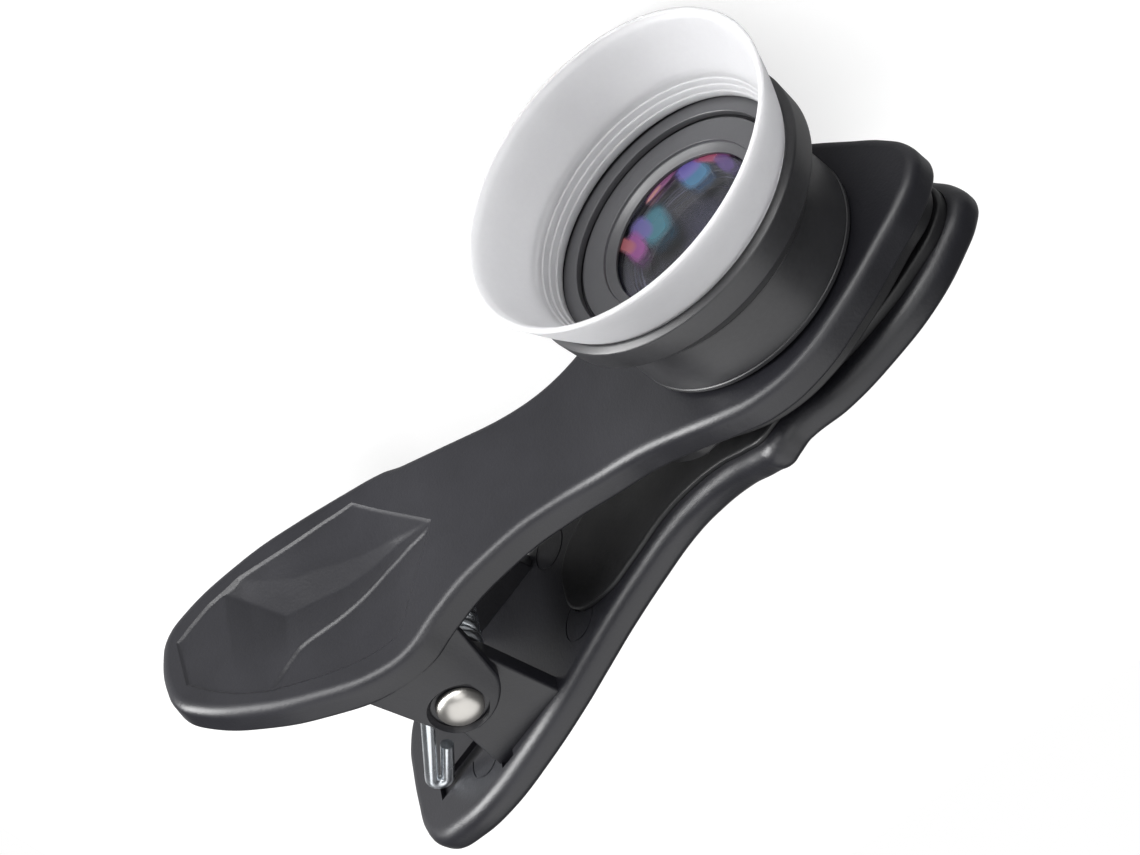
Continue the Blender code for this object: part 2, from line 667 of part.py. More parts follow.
def lens_profile(low, high, bottom_crown, top_crown, rings=2):
    """A glass element: rim from low to high, with crowned faces that meet the axis."""
    top = []
    bottom = []
    for step in range(rings):
        radius = ELEMENT_R * step / rings
        rise = 1.0 - (radius / ELEMENT_R) ** 2
        top.append((radius, high + top_crown * rise))
        bottom.append((radius, low - bottom_crown * rise))
    return top + [(ELEMENT_R, high), (ELEMENT_R, low)] + list(reversed(bottom))


def slot_ring(shop, ring, height, name):
    """Cut a pair of opposite key slots into a ring's face."""
    reach = 1.15 * ELEMENT_R
    low = (-reach, -SLOT_WIDTH / 2.0, height - SLOT_DEPTH)
    high = (reach, SLOT_WIDTH / 2.0, height + SLOT_DEPTH)
    boolean(ring, shop.box(name, low, high), "DIFFERENCE")



# Heights up the lens axis: the outside upwards, then each stack of glass downwards from its open end
BARREL_BASE = GAP
BARREL_TOP = BARREL_BASE + BARREL_HEIGHT
CELL_BASE = BARREL_TOP + GAP
CELL_WIDEST = CELL_BASE + CELL_UNDERCUT
CELL_TOP = CELL_WIDEST + CELL_SIDE_HEIGHT + CELL_RIM_BEVEL
HOOD_SEAT = CELL_TOP + GAP
SOCKET_FLOOR = CELL_TOP - SOCKET_DEPTH
HOOD_NECK_END = SOCKET_FLOOR + GAP
FACE_RING_FLOOR = SOCKET_FLOOR - FACE_RING_HEIGHT - GAP
RETAINER_FLOOR = FACE_RING_FLOOR - RETAINER_STEP
FRONT_LENS_LOW = RETAINER_FLOOR - FRONT_EDGE_THICKNESS
SPACER_LOW = FRONT_LENS_LOW - GAP - SPACER_HEIGHT
SECOND_LENS_LOW = SPACER_LOW - GAP - INNER_EDGE_THICKNESS
CELL_SEAT = SECOND_LENS_LOW - GAP
SPIGOT_END = CELL_SEAT - SEAT_WEB
SPIGOT_FLOOR = SPIGOT_END - GAP
BARREL_RING_LOW = SPIGOT_FLOOR - GAP - BARREL_RING_HEIGHT
THIRD_LENS_LOW = BARREL_RING_LOW - GAP - INNER_EDGE_THICKNESS
FRONT_SEAT = THIRD_LENS_LOW - GAP
REAR_SEAT = FRONT_SEAT - SEAT_WEB
REAR_LENS_LOW = REAR_SEAT - GAP - INNER_EDGE_THICKNESS
REAR_RING_LOW = REAR_LENS_LOW - GAP - REAR_RING_HEIGHT
NECK_END = REAR_RING_LOW - THREAD_CLEARANCE


def make_barrel(shop, axis, black):
    profile = [
        (BARREL_R - BARREL_CHAMFER, BARREL_TOP),
        (BARREL_R, BARREL_TOP - BARREL_CHAMFER),
        (BARREL_R, BARREL_BASE + BARREL_CHAMFER / 2.0),
        (BARREL_R - BARREL_CHAMFER / 2.0, BARREL_BASE),
        (MOUNT_NECK_R, BARREL_BASE),
        (MOUNT_NECK_R, NECK_END + BARREL_CHAMFER),
        (MOUNT_NECK_R - BARREL_CHAMFER, NECK_END),
        (ELEMENT_BORE_R, NECK_END),
        (ELEMENT_BORE_R, REAR_SEAT),
        (APERTURE_R, REAR_SEAT),
        (APERTURE_R, FRONT_SEAT),
        (ELEMENT_BORE_R, FRONT_SEAT),
        (ELEMENT_BORE_R, SPIGOT_FLOOR),
        (SPIGOT_BORE_R, SPIGOT_FLOOR),
        (SPIGOT_BORE_R, BARREL_TOP),
    ]
    return turned(shop, "lens_barrel", profile, axis, black, OUTER_SEGMENTS)


def make_front_cell(shop, axis, black):
    face_bore = FACE_RING_OUTER_R + THREAD_CLEARANCE
    retainer_bore = RETAINER_OUTER_R + THREAD_CLEARANCE
    rim_inner = CELL_R - CELL_RIM_WIDTH
    profile = [
        (rim_inner, CELL_TOP),
        (CELL_R, CELL_TOP - CELL_RIM_BEVEL),
        (CELL_R - CELL_TAPER, CELL_WIDEST),
        (BARREL_R + 2.0 * CELL_TAPER, CELL_BASE),
        (SPIGOT_R, CELL_BASE),
        (SPIGOT_R, SPIGOT_END),
        (APERTURE_R, SPIGOT_END),
        (APERTURE_R, CELL_SEAT),
        (ELEMENT_BORE_R, CELL_SEAT),
        (ELEMENT_BORE_R, RETAINER_FLOOR),
        (retainer_bore, RETAINER_FLOOR),
        (retainer_bore, FACE_RING_FLOOR),
        (face_bore, FACE_RING_FLOOR),
        (face_bore, SOCKET_FLOOR),
        (SOCKET_R, SOCKET_FLOOR),
        (SOCKET_R, CELL_TOP),
    ]
    return turned(shop, "front_cell", profile, axis, black, OUTER_SEGMENTS)


def make_hood(shop, axis, frosted):
    """A push-in neck with fine steps inside, and a flared skirt with a rounded rim."""
    flare_inner = HOOD_FLARE_BASE_R - HOOD_WALL
    rim = HOOD_SEAT + HOOD_FLARE_HEIGHT
    rim_inner = HOOD_RIM_R - HOOD_WALL
    edge = HOOD_WALL / 4.0
    profile = [
        (HOOD_RIM_R - edge, rim),
        (HOOD_RIM_R, rim - edge),
        (HOOD_FLARE_BASE_R + 0.55 * (HOOD_RIM_R - HOOD_FLARE_BASE_R), HOOD_SEAT + 0.48 * HOOD_FLARE_HEIGHT),
        (HOOD_FLARE_BASE_R, HOOD_SEAT),
        (HOOD_NECK_R, HOOD_SEAT),
        (HOOD_NECK_R, HOOD_NECK_END),
        (HOOD_NECK_INNER_R, HOOD_NECK_END),
    ]
    step_height = (HOOD_SEAT - HOOD_NECK_END) / (HOOD_STEPS + 1)
    step_width = (flare_inner - HOOD_NECK_INNER_R) / HOOD_STEPS
    for step in range(HOOD_STEPS):
        height = HOOD_NECK_END + (step + 1) * step_height
        radius = HOOD_NECK_INNER_R + step * step_width
        profile += [(radius, height), (radius + step_width, height + 0.2 * step_height)]
    profile += [
        (flare_inner + 0.55 * (rim_inner - flare_inner), HOOD_SEAT + 0.50 * HOOD_FLARE_HEIGHT),
        (rim_inner, rim - edge),
        (rim_inner + edge, rim),
    ]
    return turned(shop, "hood", profile, axis, frosted, OUTER_SEGMENTS)


def make_front_parts(shop, axis, black, bright, glass):
    """The glasses and rings of the front cell."""
    low = RETAINER_FLOOR + GAP
    top = low + RETAINER_HEIGHT
    retainer = [
        (RETAINER_OUTER_R, top),
        (RETAINER_OUTER_R, low),
        (RETAINER_INNER_R, low),
        (RETAINER_INNER_R, top - RETAINER_BEVEL),
        (RETAINER_INNER_R + RETAINER_BEVEL, top),
    ]
    turned(shop, "front_retainer", retainer, axis, bright, OUTER_SEGMENTS)
    low = FACE_RING_FLOOR + GAP
    face = ring_profile(FACE_RING_OUTER_R, FACE_RING_INNER_R, low, low + FACE_RING_HEIGHT)
    turned(shop, "front_face_ring", face, axis, black, OUTER_SEGMENTS)
    front = lens_profile(FRONT_LENS_LOW, RETAINER_FLOOR, 0.0, FRONT_LENS_CROWN, rings=5)
    turned(shop, "front_lens", front, axis, glass, INNER_SEGMENTS, closed=False)
    spacer = ring_profile(ELEMENT_R, SMALL_RING_INNER_R, SPACER_LOW, SPACER_LOW + SPACER_HEIGHT)
    turned(shop, "spacer_ring", spacer, axis, black, INNER_SEGMENTS)
    second = lens_profile(
        SECOND_LENS_LOW, SECOND_LENS_LOW + INNER_EDGE_THICKNESS, INNER_LENS_CROWN, INNER_LENS_CROWN
    )
    turned(shop, "second_lens", second, axis, glass, INNER_SEGMENTS, closed=False)


def make_rear_parts(shop, axis, black, glass):
    """The glasses and slotted rings of the barrel."""
    third = lens_profile(THIRD_LENS_LOW, THIRD_LENS_LOW + INNER_EDGE_THICKNESS, INNER_LENS_CROWN, INNER_LENS_CROWN)
    turned(shop, "third_lens", third, axis, glass, INNER_SEGMENTS, closed=False)
    ring_top = BARREL_RING_LOW + BARREL_RING_HEIGHT
    profile = ring_profile(ELEMENT_R, SMALL_RING_INNER_R, BARREL_RING_LOW, ring_top)
    barrel_ring = turned(shop, "barrel_ring", profile, axis, black, INNER_SEGMENTS)
    slot_ring(shop, barrel_ring, ring_top, "barrel_ring_slots")
    rear = lens_profile(REAR_LENS_LOW, REAR_LENS_LOW + INNER_EDGE_THICKNESS, INNER_LENS_CROWN, INNER_LENS_CROWN)
    turned(shop, "rear_lens", rear, axis, glass, INNER_SEGMENTS, closed=False)
    profile = ring_profile(ELEMENT_R, SMALL_RING_INNER_R, REAR_RING_LOW, REAR_RING_LOW + REAR_RING_HEIGHT)
    rear_ring = turned(shop, "rear_ring", profile, axis, black, INNER_SEGMENTS)
    slot_ring(shop, rear_ring, REAR_RING_LOW, "rear_ring_slots")


def make_rivet(shop, root, chrome):
    """Shank, domed near head and flatter far head, turned along Y."""
    seat = HEAD_RECESS_Y + GAP
    dome = []
    dome_steps = 5
    for step in range(dome_steps + 1):
        angle = math.radians(90.0 * step / dome_steps)
        dome.append((RIVET_HEAD_R * math.sin(angle), seat + RIVET_HEAD_HEIGHT * math.cos(angle)))
    tail = [
        (RIVET_SHANK_R, seat),
        (RIVET_SHANK_R, -seat),
        (RIVET_TAIL_R, -seat),
        (RIVET_TAIL_R, -seat - 0.5 * RIVET_TAIL_HEIGHT),
        (0.7 * RIVET_TAIL_R, -seat - RIVET_TAIL_HEIGHT),
        (0.0, -seat - RIVET_TAIL_HEIGHT),
    ]
    rivet = turned(shop, "hinge_rivet", dome + tail, None, chrome, RIVET_SEGMENTS, closed=False)
    rivet.data.transform(Matrix.Rotation(math.radians(90.0), 4, "X"))
    rivet.parent = root
    rivet.location = (HINGE_X, 0.0, HINGE_Z)
    return rivet


def folded_leg(centre, sense):
    """A leg from the coil outwards in the x-z plane, folded back round a small circle at centre.

    Sense is 1.0 where the wire turns from +x towards +z as it leaves the coil, and -1.0 for the opposite.
    Gives the angle on the coil at which the wire leaves it, and the leg's points after that.
    """
    dx = centre[0] - HINGE_X
    dz = sense * (centre[1] - HINGE_Z)
    offset = math.acos((COIL_R - FOLD_R) / math.hypot(dx, dz))
    leave = math.atan2(dz, dx) - offset
    points = []
    steps = 6
    for step in range(steps + 1):
        angle = leave + math.radians(FOLD_TURN) * step / steps
        points.append((FOLD_R * math.cos(angle), FOLD_R * math.sin(angle)))
    heading = leave + math.radians(FOLD_TURN + 90.0)
    last_x, last_z = points[-1]
    points.append((last_x + FOLD_LENGTH * math.cos(heading), last_z + FOLD_LENGTH * math.sin(heading)))
    return sense * leave, [(centre[0] + x, centre[1] + sense * z) for x, z in points]


def make_spring(shop, root, steel):
    """A close coil on the rivet. One leg presses on the lower arm, the other on the upper arm."""
    rest = WIRE_R + GAP - LEG_GROOVE_DEPTH + FOLD_R
    low_along = LOWER_PATH.along_at(FOLD_X)
    high_along = UPPER_PATH.along_at(FOLD_X)
    low_angle, low_points = folded_leg(LOWER_PATH.point(low_along, rest), 1.0)
    high_angle, high_points = folded_leg(UPPER_PATH.point(high_along, -ARM_THICKNESS - rest), -1.0)
    sweep = (low_angle - high_angle) % (2.0 * math.pi) + COIL_TURNS * 2.0 * math.pi
    length = COIL_PITCH * sweep / (2.0 * math.pi)
    steps = round(COIL_STEPS * sweep / (2.0 * math.pi))
    fold_y = leg_offset()
    points = [Vector((x, -fold_y, z)) for x, z in reversed(low_points)]
    for step in range(steps + 1):
        share = step / steps
        angle = low_angle - sweep * share
        y = -length / 2.0 + length * share
        points.append(Vector((HINGE_X + COIL_R * math.cos(angle), y, HINGE_Z + COIL_R * math.sin(angle))))
    points += [Vector((x, fold_y, z)) for x, z in high_points]
    curve = bpy.data.curves.new("torsion_spring", "CURVE")
    curve.dimensions = "3D"
    curve.bevel_depth = WIRE_R
    curve.bevel_resolution = 2
    curve.use_fill_caps = True
    spline = curve.splines.new("POLY")
    spline.points.add(len(points) - 1)
    for point, place in zip(spline.points, points):
        point.co = (*place, 1.0)
    spring = add_object("torsion_spring", curve, shop.parts, root)
    curve.materials.append(steel)
    return spring


def lay_on_side(root, collection):
    """Turn the clip on its side, and set the middle of its lowest face at the world's origin."""
    root.rotation_euler = (math.radians(-90.0), 0.0, 0.0)
    bpy.context.view_layer.update()
    depsgraph = bpy.context.evaluated_depsgraph_get()
    corners = []
    for obj in collection.objects:
        if obj.type == "EMPTY":
            continue
        evaluated = obj.evaluated_get(depsgraph)
        mesh = evaluated.to_mesh()
        corners += [evaluated.matrix_world @ vert.co for vert in mesh.vertices]
        evaluated.to_mesh_clear()
    low = [min(corner[axis] for corner in corners) for axis in range(3)]
    high = [max(corner[axis] for corner in corners) for axis in range(3)]
    root.location = (-(low[0] + high[0]) / 2.0, -(low[1] + high[1]) / 2.0, -low[2])
    bpy.context.view_layer.update()


def build():
    clear_scene()
    shop = Workshop()
    plastic = make_material("arm_plastic", (0.055, 0.055, 0.06), 0.55)
    rubber = make_material("pad_rubber", (0.012, 0.012, 0.013), 0.8)
    black = make_material("lens_black", (0.03, 0.03, 0.032), 0.45)
    bright = make_material("retainer_black", (0.04, 0.04, 0.042), 0.35)
    glass = make_material("lens_glass", (0.55, 0.62, 0.75), 0.02, transmission=0.9)
    frosted = make_material("hood_frosted", (0.8, 0.81, 0.82), 0.5, transmission=0.4)
    chrome = make_material("rivet_chrome", (0.85, 0.83, 0.8), 0.15, metallic=1.0)
    steel = make_material("spring_zinc", (0.75, 0.77, 0.8), 0.3, metallic=1.0)

    root = add_empty("clip_frame", shop.parts)
    hinge = add_empty("jaw_hinge_axis", shop.parts, root, (HINGE_X, 0.0, HINGE_Z))
    barrel_axis = add_empty("barrel_axis", shop.parts, hinge)
    cell_axis = add_empty("front_cell_axis", shop.parts, barrel_axis)
    hood_axis = add_empty("hood_axis", shop.parts, cell_axis)

    make_lower_arm(shop, root, plastic)
    make_upper_arm(shop, hinge, plastic)
    make_lower_pad(shop, root, rubber)
    make_upper_pad(shop, hinge, rubber)
    make_rivet(shop, root, chrome)
    make_spring(shop, root, steel)
    make_barrel(shop, barrel_axis, black)
    make_rear_parts(shop, barrel_axis, black, glass)
    make_front_cell(shop, cell_axis, black)
    make_front_parts(shop, cell_axis, black, bright, glass)
    make_hood(shop, hood_axis, frosted)
    for tool in shop.tools.objects:
        tool.parent = root
    lay_on_side(root, shop.parts)


build()
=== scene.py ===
"""Looks of the clip-on phone lens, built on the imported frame."""
import math

import bmesh
import bpy
import numpy as np
from mathutils import Matrix, Vector


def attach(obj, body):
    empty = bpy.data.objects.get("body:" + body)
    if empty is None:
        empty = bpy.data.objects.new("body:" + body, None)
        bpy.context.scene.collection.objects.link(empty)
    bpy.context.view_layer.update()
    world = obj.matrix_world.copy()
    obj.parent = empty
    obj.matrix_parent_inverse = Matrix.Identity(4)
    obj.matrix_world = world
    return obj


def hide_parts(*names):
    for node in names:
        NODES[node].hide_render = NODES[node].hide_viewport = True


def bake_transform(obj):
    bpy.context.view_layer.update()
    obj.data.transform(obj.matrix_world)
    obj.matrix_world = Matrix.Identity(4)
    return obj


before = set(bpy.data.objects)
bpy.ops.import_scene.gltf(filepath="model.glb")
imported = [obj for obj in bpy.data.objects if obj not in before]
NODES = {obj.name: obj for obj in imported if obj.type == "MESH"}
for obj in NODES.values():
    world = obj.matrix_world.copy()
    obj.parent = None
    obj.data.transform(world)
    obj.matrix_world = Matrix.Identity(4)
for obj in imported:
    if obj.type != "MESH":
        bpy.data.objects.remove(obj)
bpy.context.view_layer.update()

MM = 0.001

# Where the lens axis meets the upper arm's outer face, in the row frame
CLIP_ORIGIN = Vector((21.0666, 5.0573, 14.0)) * MM
CLIP_TO_ROW = Matrix.Translation(CLIP_ORIGIN) @ Matrix.Rotation(math.radians(-90.0), 4, "X")

# Camera, at the photograph's place
CAMERA_PLACE = CLIP_ORIGIN + Vector((110.2, 215.4, 261.9)) * MM
CAMERA_RIGHT = Vector((0.75541, -0.63643, 0.15592))
CAMERA_DOWN = Vector((-0.55095, -0.48811, 0.67691))
FOCAL_PX = 4735.0
PHOTO_WIDTH_PX = 1140.0
SENSOR_MM = 36.0

# Arms, in mm in the clip frame: x along the arms, y across, z up the lens axis
ARM_THICKNESS = 2.8
TOP_ROUND = 0.95
BOTTOM_ROUND = 0.55
INNER_ROUND = 1.40
ARM_SHARP = 20.0
UPPER_SIDE = (
    (-58.9, 1.6), (-58.3, 3.7), (-56.6, 5.5), (-51.0, 8.45), (-46.5, 9.75), (-40.4, 10.5), (-37.6, 10.1),
    (-35.0, 8.9), (-29.3, 7.15), (-23.5, 6.25), (-17.2, 7.0), (-13.0, 8.35), (-8.8, 10.3), (-5.0, 11.8),
    (-1.3, 12.55), (2.7, 11.9), (7.0, 9.55), (11.8, 5.85), (14.2, 3.8), (15.9, 1.7), (16.4, 0.0),
)
LOWER_SIDE = (
    (-57.4, 1.8), (-57.1, 4.6), (-55.6, 7.2), (-52.0, 8.9), (-47.6, 9.75), (-42.0, 9.6), (-36.0, 8.75),
    (-32.5, 7.95), (-28.0, 6.95), (-23.5, 6.4), (-19.0, 6.35), (-15.0, 7.1), (-10.5, 8.7), (-7.3, 10.45),
    (-5.2, 11.35), (-3.8, 11.05), (-2.2, 10.5), (1.5, 10.25), (6.2, 8.85), (11.0, 6.5), (14.5, 3.5),
    (16.1, 1.5), (16.6, 0.0),
)
UPPER_BEND = (
    (-4.0, 0.0), (-10.0, 11.3), (-15.0, 11.3), (-20.0, 1.0), (-24.0, -4.0), (-30.0, -1.7), (-34.0, 5.7),
    (-37.0, 5.7), (-40.0, -5.7), (-44.0, -14.8),
)
LOWER_BEND = ((-2.5, 0.0), (-6.5, 21.5), (-20.0, 21.5), (-28.0, 18.4))
BEND_STEP = 0.5
PATH_MARGIN = 100.0
JAW_GAP = 2.95

# Thumb recess, flat: its rim, and its creases as (along, across, depth)
RIM_STEP = 0.12
RIM_SLOPE = 0.62
FAR_RIM = (
    (-33.1, 0.6), (-40.5, 8.6), (-43.3, 8.2), (-46.3, 7.45), (-51.25, 6.4), (-52.6, 5.65), (-54.1, 4.95),
    (-55.9, 3.56), (-57.27, 2.34),
)
NEAR_RIM = (
    (-33.1, 0.6), (-33.8, -0.8), (-34.9, -2.35), (-36.6, -5.0), (-37.9, -7.2), (-38.7, -7.9), (-40.6, -8.1),
    (-43.0, -8.1), (-45.6, -7.85), (-48.2, -7.4), (-50.1, -7.0), (-52.7, -5.85), (-54.6, -4.56),
    (-56.9, -2.53),
)
CREASE = (
    (-33.1, 0.6, 0.13), (-37.9, 2.5, 0.34), (-40.9, 3.0, 0.44), (-44.5, 3.9, 0.48), (-46.5, 4.0, 0.48),
    (-48.2, 4.7, 0.42), (-51.4, 6.3, 0.16),
)
CHANNEL = (
    (-33.1, 0.5, 0.14), (-37.4, 1.6, 0.55), (-40.6, 1.2, 0.80), (-42.9, 1.05, 0.98), (-45.6, 1.15, 1.08),
    (-48.1, 1.1, 1.12), (-50.8, 3.85, 0.72), (-52.7, 5.5, 0.16), (-58.0, 5.5, 0.16),
)
RIDGE = (
    (-33.1, 0.4, 0.14), (-36.1, 0.2, 0.18), (-38.6, -0.35, 0.20), (-41.3, -1.55, 0.22), (-43.6, -2.35, 0.25),
    (-46.2, -3.05, 0.28), (-47.1, -3.4, 0.30), (-48.7, -5.05, 0.26), (-50.1, -6.95, 0.16),
    (-58.0, -6.95, 0.16),
)
RIDGE_DROP = 0.20
RIDGE_FOOT = 0.34
END_SLOPE = 0.17
END_REACH = 57.1
END_SPREAD = 0.10
END_MIDDLE = 0.3
FIELD_STEP = 0.10
FIELD_X = (-58.0, -32.3)
FIELD_Y = (-9.0, 9.5)
WALL_TOP = 2.0
TOOL_TOP = 3.0

# Pads
UPPER_PAD_PROUD = 1.70
LOWER_PAD_PROUD = 0.90
LOWER_PAD_THIN = 0.38
PAD_SEAT_DEPTH = 0.60
PAD_INSET = 1.60
PAD_FIT = 0.08
PAD_CLEARANCE = 0.02
PAD_EDGE_ROUND = 0.32
SEAT_ROUND = 0.05
PAD_RAMP_START = -5.0
PAD_RAMP_LENGTH = 14.0
UPPER_PAD_LENGTH = 31.8
LOWER_PAD_LENGTH = 49.0
PAD_END_LENGTH = 4.6

# Hinge
HINGE_X = -38.9485
HINGE_Z = -9.9
EAR_NOSE_R = 2.85
EAR_CHEEK = 0.80
EAR_ROUND = 0.30
EAR_INNER_ROUND = 0.12
EAR_SLICE = 0.4
EAR_SUNK = 1.2
# Each ear: inner and outer place across the clip, and how far it reaches before and behind the rivet
UPPER_EAR = (8.0, 10.35, 4.8, 4.6)
LOWER_EAR = (6.15, 7.75, 5.1, 3.9)
UPPER_EAR_ROOT = -39.15
# Pockets outside the lower ears: rear and front end past the ear, reach inwards and outwards, and depth
POCKET_ENDS = (0.4, 2.0)
POCKET_REACH = (0.8, 0.6)
POCKET_DEPTH = 0.6
RIVET_SHANK_R = 1.10
RIVET_FIT = 0.10
RIVET_HEAD_R = 1.95
RIVET_HEAD_HEIGHT = 1.00
RIVET_TAIL_R = 1.55
RIVET_SEAT_Y = 9.9
HEAD_RECESS_R = 2.35
HINGE_PLACE = Matrix.Translation((HINGE_X, 0.0, HINGE_Z))

# Spring
WIRE_R = 0.575
COIL_R = 2.20
COIL_TURNS = 6
COIL_STEPS = 36
COIL_PITCH = 1.36
FOLD_X = -49.0
FOLD_R = 0.66
FOLD_TURN = 178.0
FOLD_LENGTH = 3.7
LEG_INWARD = 1.2
LEG_GROOVE_DEPTH = 0.50
WIRE_GAP = 0.30
GROOVE_FIT = 0.35
GROOVE_LENGTH = 5.0
LEG_OFFSET = COIL_PITCH * COIL_TURNS / 2.0 - LEG_INWARD + 0.5 * COIL_PITCH

# Lens, in mm in the clip frame
LENS_HOLE_R = 8.5
PAD_HOLE_R = 8.95
GLASS_R = 7.0
GLASS_EDGE = 0.06
GLASS_STEPS = 14

# Hood: its neck's top, outside and inside, and the skirt above it
HOOD_NECK_R = 12.10
HOOD_INNER_R = 11.35
HOOD_NECK_Z = 10.65
HOOD_HEIGHT = 5.05
HOOD_FLARE = 1.90
HOOD_BOW = 0.28
HOOD_RIM_THIN = 0.28
HOOD_STEPS = 14
NECK_STEP_IN = 0.22
NECK_STEP_DOWN = 0.56

# Round marks of the mould's pins inside the lower arm, as (along, across)
PIN_MARKS = ((-46.6, -5.3), (-33.3, 6.0), (-31.6, -3.7))
PIN_MARK_PROFILE = ((2.0, 1.0), (2.0, -0.07), (1.82, -0.07), (1.82, 1.0))

# Faces round a turned piece
TURN_SEGMENTS = 144


# Materials

GLASS_IOR = 1.52
PLASTIC_IOR = 1.48
DRIFT_SCALE = 140.0
DRIFT_RANGE = (0.3, 0.7)
GRAIN_HEIGHT = 0.03 * MM
TURNED_SCALE = 5200.0
TURNED_HEIGHT = 0.02 * MM
TURNED_BUMP = 0.12


def set_sockets(made, **inputs):
    """Set a node's sockets by name, with an underscore for each space."""
    for name, value in inputs.items():
        made.inputs[name.replace("_", " ")].default_value = value


def node(tree, kind, **inputs):
    """A shader node with some sockets set by name."""
    made = tree.nodes.new(kind)
    set_sockets(made, **inputs)
    return made


def computed(tree, operation, *terms):
    """What a math node makes of linked sockets and plain numbers."""
    made = tree.nodes.new("ShaderNodeMath")
    made.operation = operation
    for socket, term in zip(made.inputs, terms):
        if isinstance(term, float):
            socket.default_value = term
        else:
            tree.links.new(term, socket)
    return made.outputs[0]


def ranged(tree, value, low, high, from_low=0.0, from_high=1.0):
    """A value mapped from one range to another."""
    made = node(tree, "ShaderNodeMapRange", From_Min=from_low, From_Max=from_high, To_Min=low, To_Max=high)
    tree.links.new(value, made.inputs["Value"])
    return made.outputs["Result"]


def noise(tree, place, scale, detail, roughness=0.5):
    """Noise over a place, from 0 to 1."""
    made = node(tree, "ShaderNodeTexNoise", Scale=scale, Detail=detail, Roughness=roughness)
    tree.links.new(place, made.inputs["Vector"])
    return made.outputs["Fac"]


def bumped(tree, height, strength, distance):
    """A bump node for a height."""
    made = node(tree, "ShaderNodeBump", Strength=strength, Distance=distance)
    tree.links.new(height, made.inputs["Height"])
    return made


def tinted(tree, share, base, shade):
    """A plain colour, or the colour of a socket, with a shade laid over it by a share."""
    made = tree.nodes.new("ShaderNodeMix")
    made.data_type = "RGBA"
    tree.links.new(share, made.inputs["Factor"])
    if isinstance(base, tuple):
        made.inputs["A"].default_value = base
    else:
        tree.links.new(base, made.inputs["A"])
    made.inputs["B"].default_value = (*shade, 1.0)
    return made.outputs["Result"]


def mixed_shaders(tree, share, first, second):
    """The first shader where the share is 0, and the second where it is 1."""
    made = tree.nodes.new("ShaderNodeMixShader")
    for socket, term in zip(made.inputs, (share, first, second)):
        tree.links.new(term, socket)
    return made.outputs[0]


def object_place(tree):
    return tree.nodes.new("ShaderNodeTexCoord").outputs["Object"]


def new_material(name):
    """A node material, its tree and its main shader."""
    material = bpy.data.materials.new(name)
    material.use_nodes = True
    return material, material.node_tree, material.node_tree.nodes["Principled BSDF"]


def grained(name, color, roughness, grain, bump, spread, tint, metallic=0.0):
    """A moulded or machined surface: fine grain in the bump, and slow drifts of colour and roughness."""
    material, tree, shader = new_material(name)
    link = tree.links.new
    shader.inputs["Metallic"].default_value = metallic
    place = object_place(tree)
    fine = noise(tree, place, grain, 3.0, 0.6)
    broad = noise(tree, place, DRIFT_SCALE, 4.0, 0.55)
    ramp = tree.nodes.new("ShaderNodeValToRGB")
    stops = zip(ramp.color_ramp.elements, DRIFT_RANGE, (1.0 - tint, 1.0 + tint))
    for stop, position, share in stops:
        stop.position = position
        stop.color = (*[min(1.0, c * share) for c in color], 1.0)
    mixed = computed(tree, "MULTIPLY_ADD", fine, 0.5, broad)
    link(computed(tree, "SUBTRACT", mixed, 0.25), ramp.inputs["Fac"])
    link(ramp.outputs["Color"], shader.inputs["Base Color"])
    rough = ranged(tree, broad, roughness - spread, roughness + spread, *DRIFT_RANGE)
    link(rough, shader.inputs["Roughness"])
    link(bumped(tree, fine, bump, GRAIN_HEIGHT).outputs["Normal"], shader.inputs["Normal"])
    return material


def turned_radius(tree, place):
    """The distance from the lens axis, from object coordinates."""
    link = tree.links.new
    moved = node(tree, "ShaderNodeMapping", Location=(-CLIP_ORIGIN.x, 0.0, -CLIP_ORIGIN.z))
    link(place, moved.inputs["Vector"])
    flat = tree.nodes.new("ShaderNodeVectorMath")
    flat.operation = "MULTIPLY"
    link(moved.outputs["Vector"], flat.inputs[0])
    flat.inputs[1].default_value = (1.0, 0.0, 1.0)
    size = tree.nodes.new("ShaderNodeVectorMath")
    size.operation = "LENGTH"
    link(flat.outputs["Vector"], size.inputs[0])
    return size.outputs["Value"]


def turned_metal(name, color, roughness, spread=0.05, tint=0.2):
    """A lathe-turned surface: fine rings round the lens axis over the grain."""
    material = grained(name, color, roughness, 2600.0, TURNED_BUMP, spread, tint)
    tree = material.node_tree
    link = tree.links.new
    place = object_place(tree)
    split = tree.nodes.new("ShaderNodeSeparateXYZ")
    link(place, split.inputs[0])
    join = tree.nodes.new("ShaderNodeCombineXYZ")
    link(turned_radius(tree, place), join.inputs["X"])
    link(split.outputs["Y"], join.inputs["Y"])
    rings = bumped(tree, noise(tree, join.outputs[0], TURNED_SCALE, 1.0, 0.4), TURNED_BUMP, TURNED_HEIGHT)
    normal = tree.nodes["Principled BSDF"].inputs["Normal"]
    link(normal.links[0].from_socket, rings.inputs["Normal"])
    link(rings.outputs["Normal"], normal)
    return material


def frosted_plastic(name, color, roughness, transmission, bump):
    """Clear plastic with a frosted grain."""
    material = grained(name, color, roughness, 2200.0, bump, 0.06, 0.03)
    shader = material.node_tree.nodes["Principled BSDF"]
    set_sockets(shader, IOR=PLASTIC_IOR, Specular_IOR_Level=0.22, Transmission_Weight=transmission)
    set_sockets(shader, Subsurface_Weight=1.0, Subsurface_Radius=(1.0, 1.0, 1.0), Subsurface_Scale=3.0 * MM)
    return material


